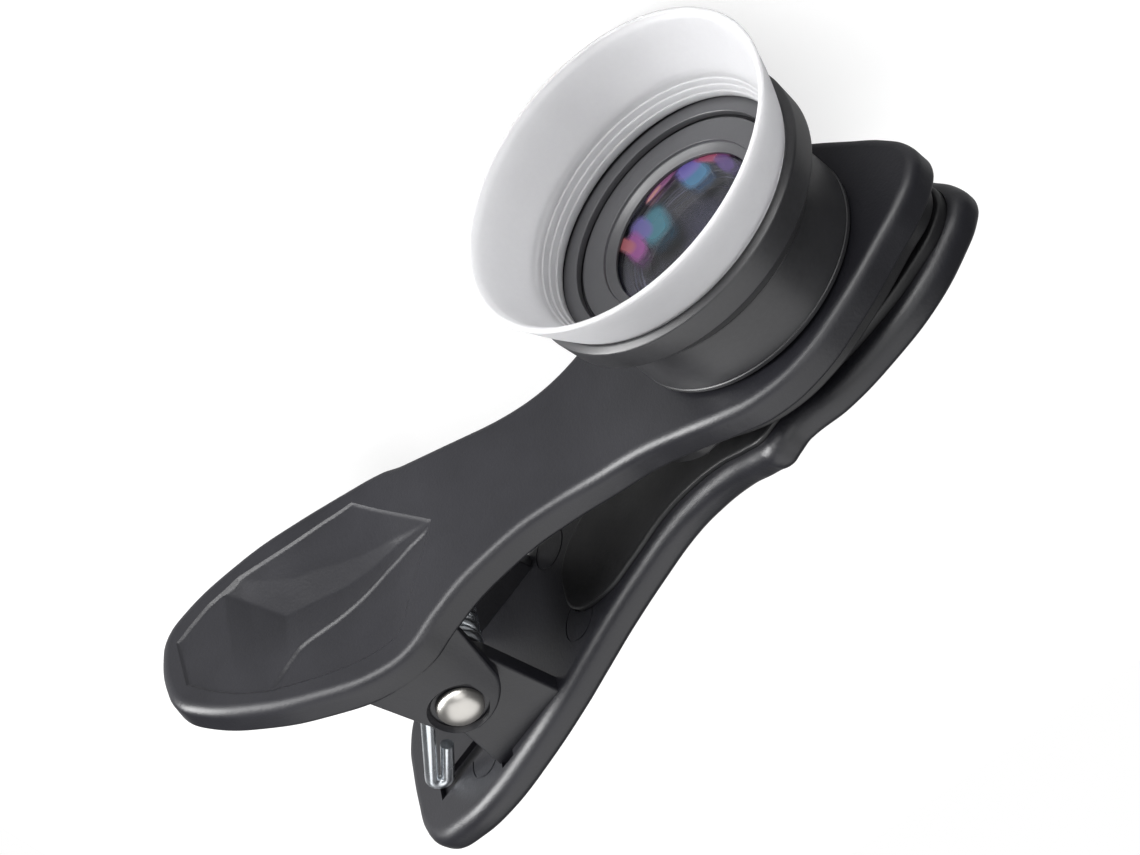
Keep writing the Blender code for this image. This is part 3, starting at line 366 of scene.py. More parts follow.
def clear_glass(name, tint, film):
    """Coated optical glass: a thin film colours its reflections, with faint drifts in the polish."""
    material, tree, shader = new_material(name)
    set_sockets(shader, IOR=GLASS_IOR, Transmission_Weight=1.0, Thin_Film_Thickness=film, Thin_Film_IOR=1.38)
    drift = noise(tree, object_place(tree), 220.0, 2.0)
    ramp = tree.nodes.new("ShaderNodeValToRGB")
    ramp.color_ramp.elements[0].color = (*tint, 1.0)
    ramp.color_ramp.elements[1].color = (*[min(1.0, c * 1.04) for c in tint], 1.0)
    tree.links.new(drift, ramp.inputs["Fac"])
    tree.links.new(ramp.outputs["Color"], shader.inputs["Base Color"])
    tree.links.new(ranged(tree, drift, 0.02, 0.04), shader.inputs["Roughness"])
    return material


# Painted reflections on the glass, fixed to it. Patches: middle (x, y), reach along and across, turn in
# degrees, colour. Rings: radius, brightness
PAINTED_FRONT_REFLECTIONS = (
    ((2.05, 4.35), (1.15, 1.45), 17.0, (0.026, 0.085, 0.150)),
    ((1.45, 5.75), (1.05, 1.15), 17.0, (0.070, 0.055, 0.180)),
    ((-2.30, 2.1), (1.35, 1.95), 15.0, (0.020, 0.080, 0.105)),
    ((-3.60, 2.9), (0.80, 1.55), 18.0, (0.060, 0.050, 0.150)),
    ((-4.45, 1.6), (0.85, 1.75), 18.0, (0.130, 0.030, 0.120)),
    ((-5.45, 2.9), (0.50, 1.60), 30.0, (0.180, 0.055, 0.060)),
    ((-1.2, 6.05), (1.60, 0.55), 24.0, (0.120, 0.045, 0.100)),
    ((-2.0, 5.7), (0.80, 0.25), 28.0, (0.240, 0.120, 0.110)),
    ((3.6, 5.2), (1.80, 0.50), -42.0, (0.150, 0.030, 0.060)),
    ((4.6, 3.6), (0.55, 1.40), 20.0, (0.040, 0.022, 0.085)),
    ((3.4, -3.6), (1.3, 0.9), -20.0, (0.015, 0.03, 0.08)),
)
# Painted reflections on the inner glass, as patches of colour
PAINTED_INNER_REFLECTIONS = (
    ((0.6, 1.2), (1.9, 1.4), 20.0, (0.012, 0.010, 0.030)),
    ((-1.8, -2.4), (1.4, 0.7), 12.0, (0.020, 0.008, 0.030)),
)
# Painted reflection rings on the inner glass: their width, then the radius and brightness of each
PAINTED_RING_WIDTH = 0.06
PAINTED_REFLECTION_RINGS = ((4.30, 0.06), (5.15, 0.20), (5.45, 0.10), (5.80, 0.20))


def painted_reflection_cover(tree, place, warp, middle, reach, turn):
    """How far one soft-edged patch of painted reflection covers each place, its edge bent a little by the
    warp.
    """
    moved = tree.nodes.new("ShaderNodeMapping")
    moved.vector_type = "TEXTURE"
    location = (CLIP_ORIGIN.x + middle[0] * MM, 0.0, CLIP_ORIGIN.z - middle[1] * MM)
    scale = (reach[0] * MM, 1.0, reach[1] * MM)
    set_sockets(moved, Location=location, Rotation=(0.0, math.radians(turn), 0.0), Scale=scale)
    tree.links.new(place, moved.inputs["Vector"])
    split = tree.nodes.new("ShaderNodeSeparateXYZ")
    tree.links.new(moved.outputs["Vector"], split.inputs[0])
    powers = [computed(tree, "POWER", computed(tree, "ABSOLUTE", split.outputs[axis]), 3.0) for axis in "XZ"]
    wavy = computed(tree, "MULTIPLY_ADD", warp, 0.5, computed(tree, "ADD", *powers))
    return ranged(tree, wavy, 0.90, 0.0, 0.60, 2.20)


def reflection_painted_glass(name, base, painted_patches, rings=(), clear=None):
    """Optical glass with soft-edged patches of painted reflection colour and fine painted reflection rings,
    all fixed to the glass. Between the patches it is dark, or clear where a clear colour is given."""
    material, tree, shader = new_material(name)
    set_sockets(shader, Roughness=0.14, IOR=GLASS_IOR)
    place = object_place(tree)
    warp = noise(tree, place, 700.0, 2.0)
    color = (*base, 1.0)
    painted_cover = None
    # Each patch paints a coloured reflection into the base colour
    for middle, reach, turn, shade in painted_patches:
        share = painted_reflection_cover(tree, place, warp, middle, reach, turn)
        color = tinted(tree, share, color, shade)
        painted_cover = share if painted_cover is None else computed(tree, "MAXIMUM", painted_cover, share)
    # Each ring paints a bright reflection ring into the base colour
    for radius, shade in rings:
        near = computed(tree, "COMPARE", turned_radius(tree, place), radius * MM, PAINTED_RING_WIDTH * MM)
        color = tinted(tree, near, color, (shade, shade, 1.15 * shade))
    tree.links.new(color, shader.inputs["Base Color"])
    if clear is not None:
        body = node(tree, "ShaderNodeBsdfPrincipled", Base_Color=(*clear, 1.0), Roughness=0.0, IOR=GLASS_IOR)
        body.inputs["Transmission Weight"].default_value = 1.0
        straight = node(tree, "ShaderNodeBsdfTransparent", Color=(*clear, 1.0))
        rays = tree.nodes.new("ShaderNodeLightPath")
        lit = mixed_shaders(tree, rays.outputs["Is Shadow Ray"], body.outputs["BSDF"], straight.outputs[0])
        whole = mixed_shaders(tree, painted_cover, lit, shader.outputs["BSDF"])
        tree.links.new(whole, tree.nodes["Material Output"].inputs["Surface"])
    return material


PLASTIC = grained("arm_plastic", (0.0078, 0.0078, 0.0105), 0.40, 3600.0, 0.60, 0.04, 0.14)
RUBBER = grained("pad_rubber", (0.006, 0.006, 0.007), 0.46, 3000.0, 0.35, 0.06, 0.2)
BLACK = turned_metal("lens_black", (0.022, 0.022, 0.024), 0.36)
SATIN = turned_metal("retainer_black", (0.042, 0.042, 0.045), 0.32, tint=0.06, spread=0.02)
CHROME = grained("rivet_chrome", (0.47, 0.455, 0.43), 0.36, 900.0, 0.05, 0.04, 0.03, 1.0)
ZINC = grained("spring_zinc", (0.66, 0.69, 0.72), 0.26, 1800.0, 0.22, 0.07, 0.08, 1.0)
HOOD = frosted_plastic("hood_frosted", (0.46, 0.46, 0.472), 0.52, 0.25, 0.12)
GLASS = clear_glass("lens_glass", (0.86, 0.90, 0.94), 420.0)
# Front and inner glass with painted reflections in their base colour
FRONT_GLASS = reflection_painted_glass("front_painted_reflections", (0.006, 0.006, 0.012), PAINTED_FRONT_REFLECTIONS, clear=(0.40, 0.40, 0.50))
PAINTED_REFLECTION_GLASS = reflection_painted_glass("lens_painted_reflections", (0.002, 0.002, 0.004), PAINTED_INNER_REFLECTIONS, PAINTED_REFLECTION_RINGS)


# Mesh helpers: everything is made in the clip frame, in mm, and set into the row frame at the end

def to_mesh(bm, name):
    """A new mesh from a bmesh, which is freed."""
    mesh = bpy.data.meshes.new(name)
    bm.to_mesh(mesh)
    bm.free()
    return mesh


def edited(mesh, change):
    """Change a mesh in place through a bmesh."""
    bm = bmesh.new()
    bm.from_mesh(mesh)
    change(bm)
    bm.to_mesh(mesh)
    bm.free()


def slice_across(bm, stations):
    """Cut the faces at each place along the arm."""
    for station in stations:
        everything = bm.verts[:] + bm.edges[:] + bm.faces[:]
        bmesh.ops.bisect_plane(bm, geom=everything, dist=0.0005, plane_co=(station, 0, 0), plane_no=(1, 0, 0))


def holder(name, mesh):
    """A scene object for a mesh or a curve."""
    obj = bpy.data.objects.new(name, mesh)
    bpy.context.scene.collection.objects.link(obj)
    return obj


def evaluated(obj):
    """The mesh that an object has once its modifiers or its curve are worked out."""
    bpy.context.view_layer.update()
    return bpy.data.meshes.new_from_object(obj.evaluated_get(bpy.context.evaluated_depsgraph_get()))


def cut(mesh, tool_mesh, operation="DIFFERENCE"):
    """The mesh cut by a tool, or joined with it."""
    body = holder("body", mesh)
    tool = holder("tool", tool_mesh)
    modifier = body.modifiers.new("cut", "BOOLEAN")
    modifier.operation = operation
    modifier.solver = "MANIFOLD"
    modifier.object = tool
    result = evaluated(body)
    bpy.data.objects.remove(body, do_unlink=True)
    bpy.data.objects.remove(tool, do_unlink=True)
    return result


def piece(name, mesh, material, body, slot, *nodes, sharp=32.0, weighted=True):
    """Set a clip-frame mesh in mm into the row frame, as a piece that stands for some nodes. A blended piece
    has no body of its own."""
    mesh.transform(Matrix.Scale(MM, 4))
    mesh.transform(CLIP_TO_ROW)
    mesh.name = name
    mesh.materials.clear()
    mesh.materials.append(material)
    mesh.shade_smooth()
    mesh.set_sharp_from_angle(angle=math.radians(sharp))
    obj = holder(name, mesh)
    if weighted:
        modifier = obj.modifiers.new("normals", "WEIGHTED_NORMAL")
        modifier.keep_sharp = True
        modifier.weight = 60
    if body is not None:
        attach(obj, body)
    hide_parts(*nodes)
    return obj


def smooth_outline(points, resolution=10):
    """Points along the smooth closed curve through a flat outline."""
    curve = bpy.data.curves.new("outline", "CURVE")
    curve.dimensions = "3D"
    curve.resolution_u = resolution
    spline = curve.splines.new("BEZIER")
    spline.bezier_points.add(len(points) - 1)
    for point, (x, y) in zip(spline.bezier_points, points):
        point.co = (x, y, 0.0)
        point.handle_left_type = "AUTO"
        point.handle_right_type = "AUTO"
    spline.use_cyclic_u = True
    obj = holder("outline", curve)
    mesh = evaluated(obj)
    bpy.data.objects.remove(obj, do_unlink=True)
    places = [(v.co.x, v.co.y) for v in mesh.vertices]
    if turned_area(places) < 0.0:
        places.reverse()
    return places


def turned_area(points):
    """A closed outline's area, positive where it runs anticlockwise."""
    total = 0.0
    for (x1, y1), (x2, y2) in zip(points, points[1:] + points[:1]):
        total += x1 * y2 - x2 * y1
    return total / 2.0


def mirrored(side):
    """The whole outline from one side of it."""
    return list(side) + [(x, -y) for x, y in reversed(side) if y > 0.0]


def drawn_in(points, amount):
    """An anticlockwise outline moved inwards along its normals."""
    moved = []
    count = len(points)
    for index, (x, y) in enumerate(points):
        before = points[index - 1]
        after = points[(index + 1) % count]
        dx, dy = after[0] - before[0], after[1] - before[1]
        length = math.hypot(dx, dy) or 1.0
        moved.append((x - amount * dy / length, y + amount * dx / length))
    return moved


def plate(outline, low, high, low_round, high_round, steps=8):
    """A plate over an anticlockwise outline, with its lower and upper edges rounded."""
    levels = []
    for step in range(steps + 1):
        angle = 0.5 * math.pi * step / steps
        levels.append((low_round * (1.0 - math.sin(angle)), low + low_round * (1.0 - math.cos(angle))))
    for step in range(steps + 1):
        angle = 0.5 * math.pi * step / steps
        levels.append((high_round * (1.0 - math.cos(angle)), high - high_round * (1.0 - math.sin(angle))))
    bm = bmesh.new()
    loops = []
    for inset, height in levels:
        loops.append([bm.verts.new((x, y, height)) for x, y in drawn_in(outline, inset)])
    count = len(outline)
    for first, second in zip(loops, loops[1:]):
        for index in range(count):
            after = (index + 1) % count
            bm.faces.new((first[index], first[after], second[after], second[index]))
    bm.faces.new(list(reversed(loops[0])))
    bm.faces.new(loops[-1])
    return to_mesh(bm, "plate")


def box_mesh(low, high):
    """A box between two corners."""
    bm = bmesh.new()
    bmesh.ops.create_cube(bm, size=1.0)
    for vert in bm.verts:
        for axis in range(3):
            vert.co[axis] = low[axis] if vert.co[axis] < 0.0 else high[axis]
    return to_mesh(bm, "box")


class ArmPath:
    """The bent line that an arm follows, at the height of its top face."""

    def __init__(self, bends, start_height):
        self.angles = [(x, math.radians(angle)) for x, angle in bends]
        stations = []
        for (x1, _), (x2, _) in zip(self.angles, self.angles[1:]):
            count = max(2, math.ceil((x1 - x2) / BEND_STEP))
            stations += [x1 + (x2 - x1) * k / count for k in range(count)]
        self.stations = stations + [self.angles[-1][0]]
        x, z = self.stations[0], start_height
        self.places = [(x + PATH_MARGIN, x + PATH_MARGIN, z, self.tilt(x)), (x, x, z, self.tilt(x))]
        for before, after in zip(self.stations, self.stations[1:]):
            tilt = self.tilt((before + after) / 2.0)
            x -= (before - after) * math.cos(tilt)
            z -= (before - after) * math.sin(tilt)
            self.places.append((after, x, z, self.tilt(after)))
        tilt = self.tilt(after)
        end_x, end_z = x - PATH_MARGIN * math.cos(tilt), z - PATH_MARGIN * math.sin(tilt)
        self.places.append((after - PATH_MARGIN, end_x, end_z, tilt))

    def tilt(self, along):
        """The arm's slope at a distance along it."""
        if along >= self.angles[0][0]:
            return self.angles[0][1]
        for (x1, a1), (x2, a2) in zip(self.angles, self.angles[1:]):
            if x2 <= along:
                return a1 + (x1 - along) / (x1 - x2) * (a2 - a1)
        return self.angles[-1][1]

    def at(self, along):
        """Place and slope (x, z, tilt) at a distance along the arm."""
        for (s1, x1, z1, t1), (s2, x2, z2, t2) in zip(self.places, self.places[1:]):
            if s2 <= along <= s1:
                share = (s1 - along) / (s1 - s2)
                return (x1 + share * (x2 - x1), z1 + share * (z2 - z1), t1 + share * (t2 - t1))
        raise ValueError("outside the arm")

    def point(self, along, height=0.0):
        """A point over or under the arm's top face."""
        x, z, tilt = self.at(along)
        return (x - height * math.sin(tilt), z + height * math.cos(tilt))

    def along_at(self, x):
        """The distance along the arm at a place x."""
        for (s1, x1, _, _), (s2, x2, _, _) in zip(self.places, self.places[1:]):
            if x2 <= x <= x1:
                return s1 + (s2 - s1) * (x1 - x) / (x1 - x2)
        raise ValueError("outside the arm")

    def bend(self, mesh):
        """Bend a straight mesh along the path. It is cut across first, as booleans merge coplanar faces."""
        edited(mesh, lambda bm: slice_across(bm, self.stations))
        places = np.empty(len(mesh.vertices) * 3)
        mesh.vertices.foreach_get("co", places)
        places = places.reshape(-1, 3)
        table = np.array(self.places[::-1])
        along = places[:, 0].copy()
        tilt = np.interp(along, table[:, 0], table[:, 3])
        places[:, 0] = np.interp(along, table[:, 0], table[:, 1]) - places[:, 2] * np.sin(tilt)
        places[:, 2] = np.interp(along, table[:, 0], table[:, 2]) + places[:, 2] * np.cos(tilt)
        mesh.vertices.foreach_set("co", places.reshape(-1))
        mesh.update()


UPPER_PATH = ArmPath(UPPER_BEND, 0.0)
LOWER_PATH = ArmPath(LOWER_BEND, -ARM_THICKNESS - JAW_GAP)
UPPER_OUTLINE = smooth_outline(mirrored(UPPER_SIDE))
LOWER_OUTLINE = smooth_outline(mirrored(LOWER_SIDE))


# Thumb recess

def distance_to_line(grid_x, grid_y, line):
    """Distance of each grid point from an open line of points."""
    best = np.full(grid_x.shape, 1e9)
    for first, second in zip(line, line[1:]):
        ax, ay = first[0], first[1]
        dx, dy = second[0] - ax, second[1] - ay
        share = np.clip(((grid_x - ax) * dx + (grid_y - ay) * dy) / (dx * dx + dy * dy), 0.0, 1.0)
        best = np.minimum(best, np.hypot(grid_x - ax - share * dx, grid_y - ay - share * dy))
    return best


def inside(grid_x, grid_y, loop):
    """Which grid points lie inside a closed outline."""
    result = np.zeros(grid_x.shape, bool)
    for (x1, y1), (x2, y2) in zip(loop, loop[1:] + loop[:1]):
        crosses = (y1 > grid_y) != (y2 > grid_y)
        if y1 != y2:
            result ^= crosses & (grid_x < (x2 - x1) * (grid_y - y1) / (y2 - y1) + x1)
    return result


def soften(field, times):
    """A field of depths smoothed a few times along both of its directions."""
    for _ in range(times):
        padded = np.pad(field, 1, mode="edge")
        field = (padded[:-2, 1:-1] + 2.0 * padded[1:-1, 1:-1] + padded[2:, 1:-1]) / 4.0
        padded = np.pad(field, 1, mode="edge")
        field = (padded[1:-1, :-2] + 2.0 * padded[1:-1, 1:-1] + padded[1:-1, 2:]) / 4.0
    return field


def line_at(line, x, column):
    """A line's across place or depth over the distance along the arm."""
    ordered = sorted(line)
    return np.interp(x, [mark[0] for mark in ordered], [mark[column] for mark in ordered])


def recess_depth(grid_x, grid_y):
    """Depth of the faceted recess below the arm's face. The facets span the rims, the crease, the channel and
    the ridge, which steps down on its near side, and the end facet cuts across them."""
    near_y = line_at(NEAR_RIM, grid_x, 1)
    far_y = np.maximum(line_at(FAR_RIM, grid_x, 1), near_y + 0.01)
    ridge_y = np.maximum(line_at(RIDGE, grid_x, 1), near_y)
    ridge_d = line_at(RIDGE, grid_x, 2)
    channel_y = np.clip(line_at(CHANNEL, grid_x, 1), ridge_y, far_y)
    channel_d = line_at(CHANNEL, grid_x, 2)
    crease_y = np.clip(line_at(CREASE, grid_x, 1), channel_y, far_y)
    crease_d = line_at(CREASE, grid_x, 2)
    open_share = np.clip((ridge_y - near_y) / 2.0, 0.0, 1.0)
    foot_y = ridge_y - RIDGE_FOOT * open_share
    foot_d = ridge_d + RIDGE_DROP * open_share
    lines = ((far_y, RIM_STEP), (crease_y, crease_d), (channel_y, channel_d), (ridge_y, ridge_d),
             (foot_y, foot_d), (near_y, RIM_STEP))
    depth = np.full(grid_x.shape, RIM_STEP)
    for (first_y, first_d), (second_y, second_d) in zip(lines, lines[1:]):
        width = np.maximum(first_y - second_y, 1e-6)
        share = (first_y - grid_y) / width
        hit = (share >= 0.0) & (share <= 1.0)
        depth = np.where(hit, first_d + (second_d - first_d) * share, depth)
    end = RIM_STEP + END_SLOPE * (grid_x + END_REACH - END_SPREAD * np.abs(grid_y - END_MIDDLE))
    depth = np.minimum(depth, np.maximum(end, 0.5 * RIM_STEP))
    depth = soften(depth, 2)
    rim = list(FAR_RIM) + list(reversed(NEAR_RIM[1:]))
    near = distance_to_line(grid_x, grid_y, rim + rim[:1])
    signed = np.where(inside(grid_x, grid_y, rim), near, -near)
    return np.minimum(depth, np.maximum(RIM_SLOPE * signed, -WALL_TOP))


def recess_tool():
    """A solid over the recess: the facets below, and a flat top above the arm's face."""
    xs = np.arange(*FIELD_X, FIELD_STEP)
    ys = np.arange(*FIELD_Y, FIELD_STEP)
    grid_x, grid_y = np.meshgrid(xs, ys, indexing="ij")
    depth = recess_depth(grid_x, grid_y)
    bm = bmesh.new()
    low = [[bm.verts.new((xs[i], ys[j], -depth[i, j])) for j in range(len(ys))] for i in range(len(xs))]
    for i in range(len(xs) - 1):
        for j in range(len(ys) - 1):
            bm.faces.new((low[i][j], low[i][j + 1], low[i + 1][j + 1], low[i + 1][j]))
    rim = [low[i][0] for i in range(len(xs))]
    rim += [low[-1][j] for j in range(1, len(ys))]
    rim += [low[i][-1] for i in range(len(xs) - 2, -1, -1)]
    rim += [low[0][j] for j in range(len(ys) - 2, 0, -1)]
    top = [bm.verts.new((v.co.x, v.co.y, TOOL_TOP)) for v in rim]
    count = len(rim)
    for index in range(count):
        after = (index + 1) % count
        bm.faces.new((rim[index], rim[after], top[after], top[index]))
    bm.faces.new(top)
    bmesh.ops.recalc_face_normals(bm, faces=bm.faces)
    return to_mesh(bm, "recess")


# Arms

def pad_outline(side, length, grow=0.0):
    """An arm's outline drawn in from its edge, with a round end towards the hinge."""
    end = side[-1][0] - length
    neck = end + PAD_END_LENGTH
    kept = [(x, y) for x, y in side if x > neck + 0.4 * PAD_END_LENGTH and y > 2.0 * PAD_INSET]
    body = [(x, y - PAD_INSET + grow) for x, y in kept]
    neck_y = body[0][1]
    tip = side[-1][0] - 0.95 * (PAD_INSET - grow)
    half = [(end - grow, 0.0), (end + 0.14 * PAD_END_LENGTH - grow, 0.55 * neck_y), (neck, 0.97 * neck_y)]
    half += body + [(tip, 0.0)]
    return half + [(x, -y) for x, y in reversed(half) if y > 0.0]


def half_width(outline, path, x):
    """The arm's half width at a place x of the bent arm."""
    along = path.along_at(x)
    upper = sorted((px, py) for px, py in outline if py > 0.0)
    return float(np.interp(along, [p[0] for p in upper], [p[1] for p in upper]))


def ear_outline(front, rear, upright):
    """An ear's side view, from the rivet's place: a round nose, wider on the jaw side."""
    points = [rear]
    for degrees in range(190, 351, 5):
        angle = math.radians(degrees)
        stretch = EAR_CHEEK * max(0.0, math.cos(angle))
        points.append((EAR_NOSE_R * math.cos(angle) + stretch, EAR_NOSE_R * math.sin(angle)))
    points.append(front)
    if upright:
        points = [(x, -z) for x, z in points]
    points = [(HINGE_X + x, HINGE_Z + z) for x, z in points]
    if turned_area(points) < 0.0:
        points.reverse()
    return points


def ear_mesh(outline, inner, outer, side, limit=None):
    """An ear between two places across the clip. Its outer face follows a limit where one is given."""
    mesh = plate(outline, inner, outer, EAR_INNER_ROUND, EAR_ROUND, 4)
    if limit is not None:
        stations = [min(x for x, _ in outline) + EAR_SLICE]
        while stations[-1] + EAR_SLICE < max(x for x, _ in outline):
            stations.append(stations[-1] + EAR_SLICE)
        edited(mesh, lambda bm: slice_across(bm, stations))
    for vert in mesh.vertices:
        x, z, y = vert.co
        if limit is not None:
            share = (limit(x) - inner) / (outer - inner)
            y = inner + (y - inner) * share
        vert.co = (x, side * y, z)
    edited(mesh, lambda bm: bmesh.ops.recalc_face_normals(bm, faces=bm.faces))
    return mesh


def lathe_mesh(profile, segments, axis="Z", closed=True):
    """Turn a profile of (radius, height) points in mm."""
    bm = bmesh.new()
    rings = []
    for radius, height in profile:
        if radius < 1e-6:
            rings.append([bm.verts.new((0.0, 0.0, height))])
            continue
        ring = []
        for step in range(segments):
            angle = 2.0 * math.pi * step / segments
            ring.append(bm.verts.new((radius * math.cos(angle), radius * math.sin(angle), height)))
        rings.append(ring)
    pairs = list(zip(rings, rings[1:]))
    if closed:
        pairs.append((rings[-1], rings[0]))
    for first, second in pairs:
        if len(first) == 1 and len(second) == 1:
            continue
        for step in range(segments):
            after = (step + 1) % segments
            if len(first) == 1:
                bm.faces.new((first[0], second[after], second[step]))
            elif len(second) == 1:
                bm.faces.new((first[step], first[after], second[0]))
            else:
                bm.faces.new((first[step], first[after], second[after], second[step]))
    bmesh.ops.recalc_face_normals(bm, faces=bm.faces)
    if axis == "Y":
        bmesh.ops.transform(bm, matrix=Matrix.Rotation(math.radians(90.0), 4, "X"), verts=bm.verts)
    return to_mesh(bm, "turned")


def drill(radius, top, bottom, segments, axis="Z"):
    """A tool for a round hole."""
    corners = [(0.0, top), (radius, top), (radius, bottom), (0.0, bottom)]
    return lathe_mesh(corners, segments, axis, closed=False)


def rivet_tool(half_length):
    """Through hole with a countersunk seat for a head at each end."""
    outer = 14.0
    profile = [
        (0.0, outer), (HEAD_RECESS_R + 0.35, outer), (HEAD_RECESS_R + 0.35, half_length + 0.55),
        (HEAD_RECESS_R + 0.12, half_length + 0.30), (HEAD_RECESS_R, half_length + 0.15),
        (HEAD_RECESS_R, half_length), (RIVET_SHANK_R + RIVET_FIT, half_length),
    ]
    profile += [(r, -h) for r, h in reversed(profile)]
    mesh = lathe_mesh(profile, 64, "Y", closed=False)
    mesh.transform(HINGE_PLACE)
    return mesh


def arm_mesh(outline, turned_over):
    """A straight arm with its recess, in the top face or, turned over, in the bottom one."""
    mesh = plate(outline, -ARM_THICKNESS, 0.0, INNER_ROUND if turned_over else BOTTOM_ROUND, TOP_ROUND)
    tool = recess_tool()
    if turned_over:
        turn = Matrix.Translation((0.0, 0.0, -ARM_THICKNESS)) @ Matrix.Rotation(math.pi, 4, "X")
        mesh.transform(turn)
        tool.transform(turn)
    return cut(mesh, tool)


def leg_groove(path, side, height, turned_over):
    """A tool for the groove in which a leg of the spring lies."""
    half = WIRE_R + GROOVE_FIT
    along = path.along_at(FOLD_X)
    x, z = path.point(along, height)
    mesh = box_mesh((-half - FOLD_R, -half, -LEG_GROOVE_DEPTH), (GROOVE_LENGTH, half, ARM_THICKNESS))
    mesh.transform(Matrix.Rotation(math.pi if turned_over else 0.0, 4, "X"))
    mesh.transform(Matrix.Rotation(-path.at(along)[2], 4, "Y"))
    mesh.transform(Matrix.Translation((x, side, z)))
    return mesh


def make_upper_arm():
    mesh = arm_mesh(UPPER_OUTLINE, False)
    seat = smooth_outline(pad_outline(UPPER_SIDE, UPPER_PAD_LENGTH, PAD_FIT))
    mesh = cut(mesh, plate(seat, -6.0, PAD_SEAT_DEPTH - ARM_THICKNESS, SEAT_ROUND, SEAT_ROUND, 1))
    UPPER_PATH.bend(mesh)
    inner, outer, front_x, rear_x = UPPER_EAR
    root = UPPER_PATH.at(UPPER_EAR_ROOT)[1] - ARM_THICKNESS + EAR_SUNK - HINGE_Z
    outline = ear_outline((front_x, root), (-rear_x, root), False)
    for side in (-1.0, 1.0):
        ear = ear_mesh(outline, inner, outer, side, lambda x: half_width(UPPER_OUTLINE, UPPER_PATH, x) - 0.04)
        mesh = cut(mesh, ear, "UNION")
    mesh = cut(mesh, rivet_tool(RIVET_SEAT_Y))
    mesh = cut(mesh, drill(LENS_HOLE_R, 1.0, -5.0, 96))
    mesh = cut(mesh, leg_groove(UPPER_PATH, LEG_OFFSET, -ARM_THICKNESS, True))
    piece("upper_arm_skin", mesh, PLASTIC, "upper_clip", "arm_plastic", "upper_arm", sharp=ARM_SHARP)


def make_lower_arm():
    mesh = arm_mesh(LOWER_OUTLINE, True)
    seat = smooth_outline(pad_outline(LOWER_SIDE, LOWER_PAD_LENGTH, PAD_FIT))
    mesh = cut(mesh, plate(seat, -PAD_SEAT_DEPTH, 3.0, SEAT_ROUND, SEAT_ROUND, 1))
    inner, outer, front_x, rear_x = LOWER_EAR
    rear, front = [LOWER_PATH.along_at(HINGE_X - rear_x + reach) for reach in POCKET_ENDS]
    for side in (-1.0, 1.0):
        first, second = sorted((side * (outer - POCKET_REACH[0]), side * (outer + POCKET_REACH[1])))
        mesh = cut(mesh, box_mesh((rear, first, -POCKET_DEPTH), (front, second, 3.0)))
    for x, y in PIN_MARKS:
        ring = lathe_mesh(PIN_MARK_PROFILE, 48)
        ring.transform(Matrix.Translation((x, y, 0.0)))
        mesh = cut(mesh, ring)
    LOWER_PATH.bend(mesh)
    front_z = HINGE_Z - LOWER_PATH.at(LOWER_PATH.along_at(HINGE_X + front_x))[1] + EAR_SUNK
    rear_z = HINGE_Z - LOWER_PATH.at(LOWER_PATH.along_at(HINGE_X - rear_x))[1] + EAR_SUNK
    outline = ear_outline((front_x, front_z), (-rear_x, rear_z), True)
    for side in (-1.0, 1.0):
        mesh = cut(mesh, ear_mesh(outline, inner, outer, side), "UNION")
    tool = drill(RIVET_SHANK_R + RIVET_FIT, 14.0, -14.0, 48, "Y")
    tool.transform(HINGE_PLACE)
    mesh = cut(mesh, tool)
    mesh = cut(mesh, leg_groove(LOWER_PATH, -LEG_OFFSET, 0.0, False))
    piece("lower_arm_skin", mesh, PLASTIC, "lower_clip", "arm_plastic", "lower_arm", sharp=ARM_SHARP)


def make_pads():
    """The jaw pads. The lower one is thinner towards the hinge, and the upper one has the lens hole."""
    outline = smooth_outline(pad_outline(LOWER_SIDE, LOWER_PAD_LENGTH))
    mesh = plate(outline, PAD_CLEARANCE - PAD_SEAT_DEPTH, LOWER_PAD_PROUD, SEAT_ROUND, PAD_EDGE_ROUND, 4)
    edited(mesh, lambda bm: slice_across(bm, LOWER_PATH.stations))
    for vert in mesh.vertices:
        if vert.co.z > 0.0:
            share = min(1.0, max(0.0, (vert.co.x - PAD_RAMP_START) / PAD_RAMP_LENGTH))
            share = share * share * (3.0 - 2.0 * share)
            vert.co.z *= (LOWER_PAD_THIN + (LOWER_PAD_PROUD - LOWER_PAD_THIN) * share) / LOWER_PAD_PROUD
    LOWER_PATH.bend(mesh)
    piece("lower_pad_skin", mesh, RUBBER, "lower_clip", "pad_rubber", "lower_jaw_pad")
    outline = smooth_outline(pad_outline(UPPER_SIDE, UPPER_PAD_LENGTH))
    low = -ARM_THICKNESS - UPPER_PAD_PROUD
    high = PAD_SEAT_DEPTH - ARM_THICKNESS - PAD_CLEARANCE
    mesh = plate(outline, low, high, PAD_EDGE_ROUND, SEAT_ROUND, 4)
    UPPER_PATH.bend(mesh)
    mesh = cut(mesh, drill(PAD_HOLE_R, 1.0, -7.0, 96))
    piece("upper_pad_skin", mesh, RUBBER, "upper_clip", "pad_rubber", "upper_jaw_pad")


# Lens

def filleted(corners, steps=3):
    """A closed profile of (radius, height, fillet) corners, with each corner rounded by its fillet."""
    points = []
    count = len(corners)
    for index, (r, z, fillet) in enumerate(corners):
        if fillet <= 0.0:
            points.append((r, z))
            continue
        here = Vector((r, z))
        before = Vector(corners[index - 1][:2]) - here
        after = Vector(corners[(index + 1) % count][:2]) - here
        reach = min(fillet, 0.45 * before.length, 0.45 * after.length)
        start = here + before.normalized() * reach
        end = here + after.normalized() * reach
        for step in range(steps + 1):
            share = step / steps
            a = start.lerp(here, share)
            b = here.lerp(end, share)
            points.append(tuple(a.lerp(b, share)))
    return points


def turned(name, corners, material, body, slot, *nodes, steps=3):
    """A turned piece from a closed profile of (radius, height, fillet) corners."""
    mesh = lathe_mesh(filleted(corners, steps), TURN_SEGMENTS)
    piece(name, mesh, material, body, slot, *nodes, weighted=False)


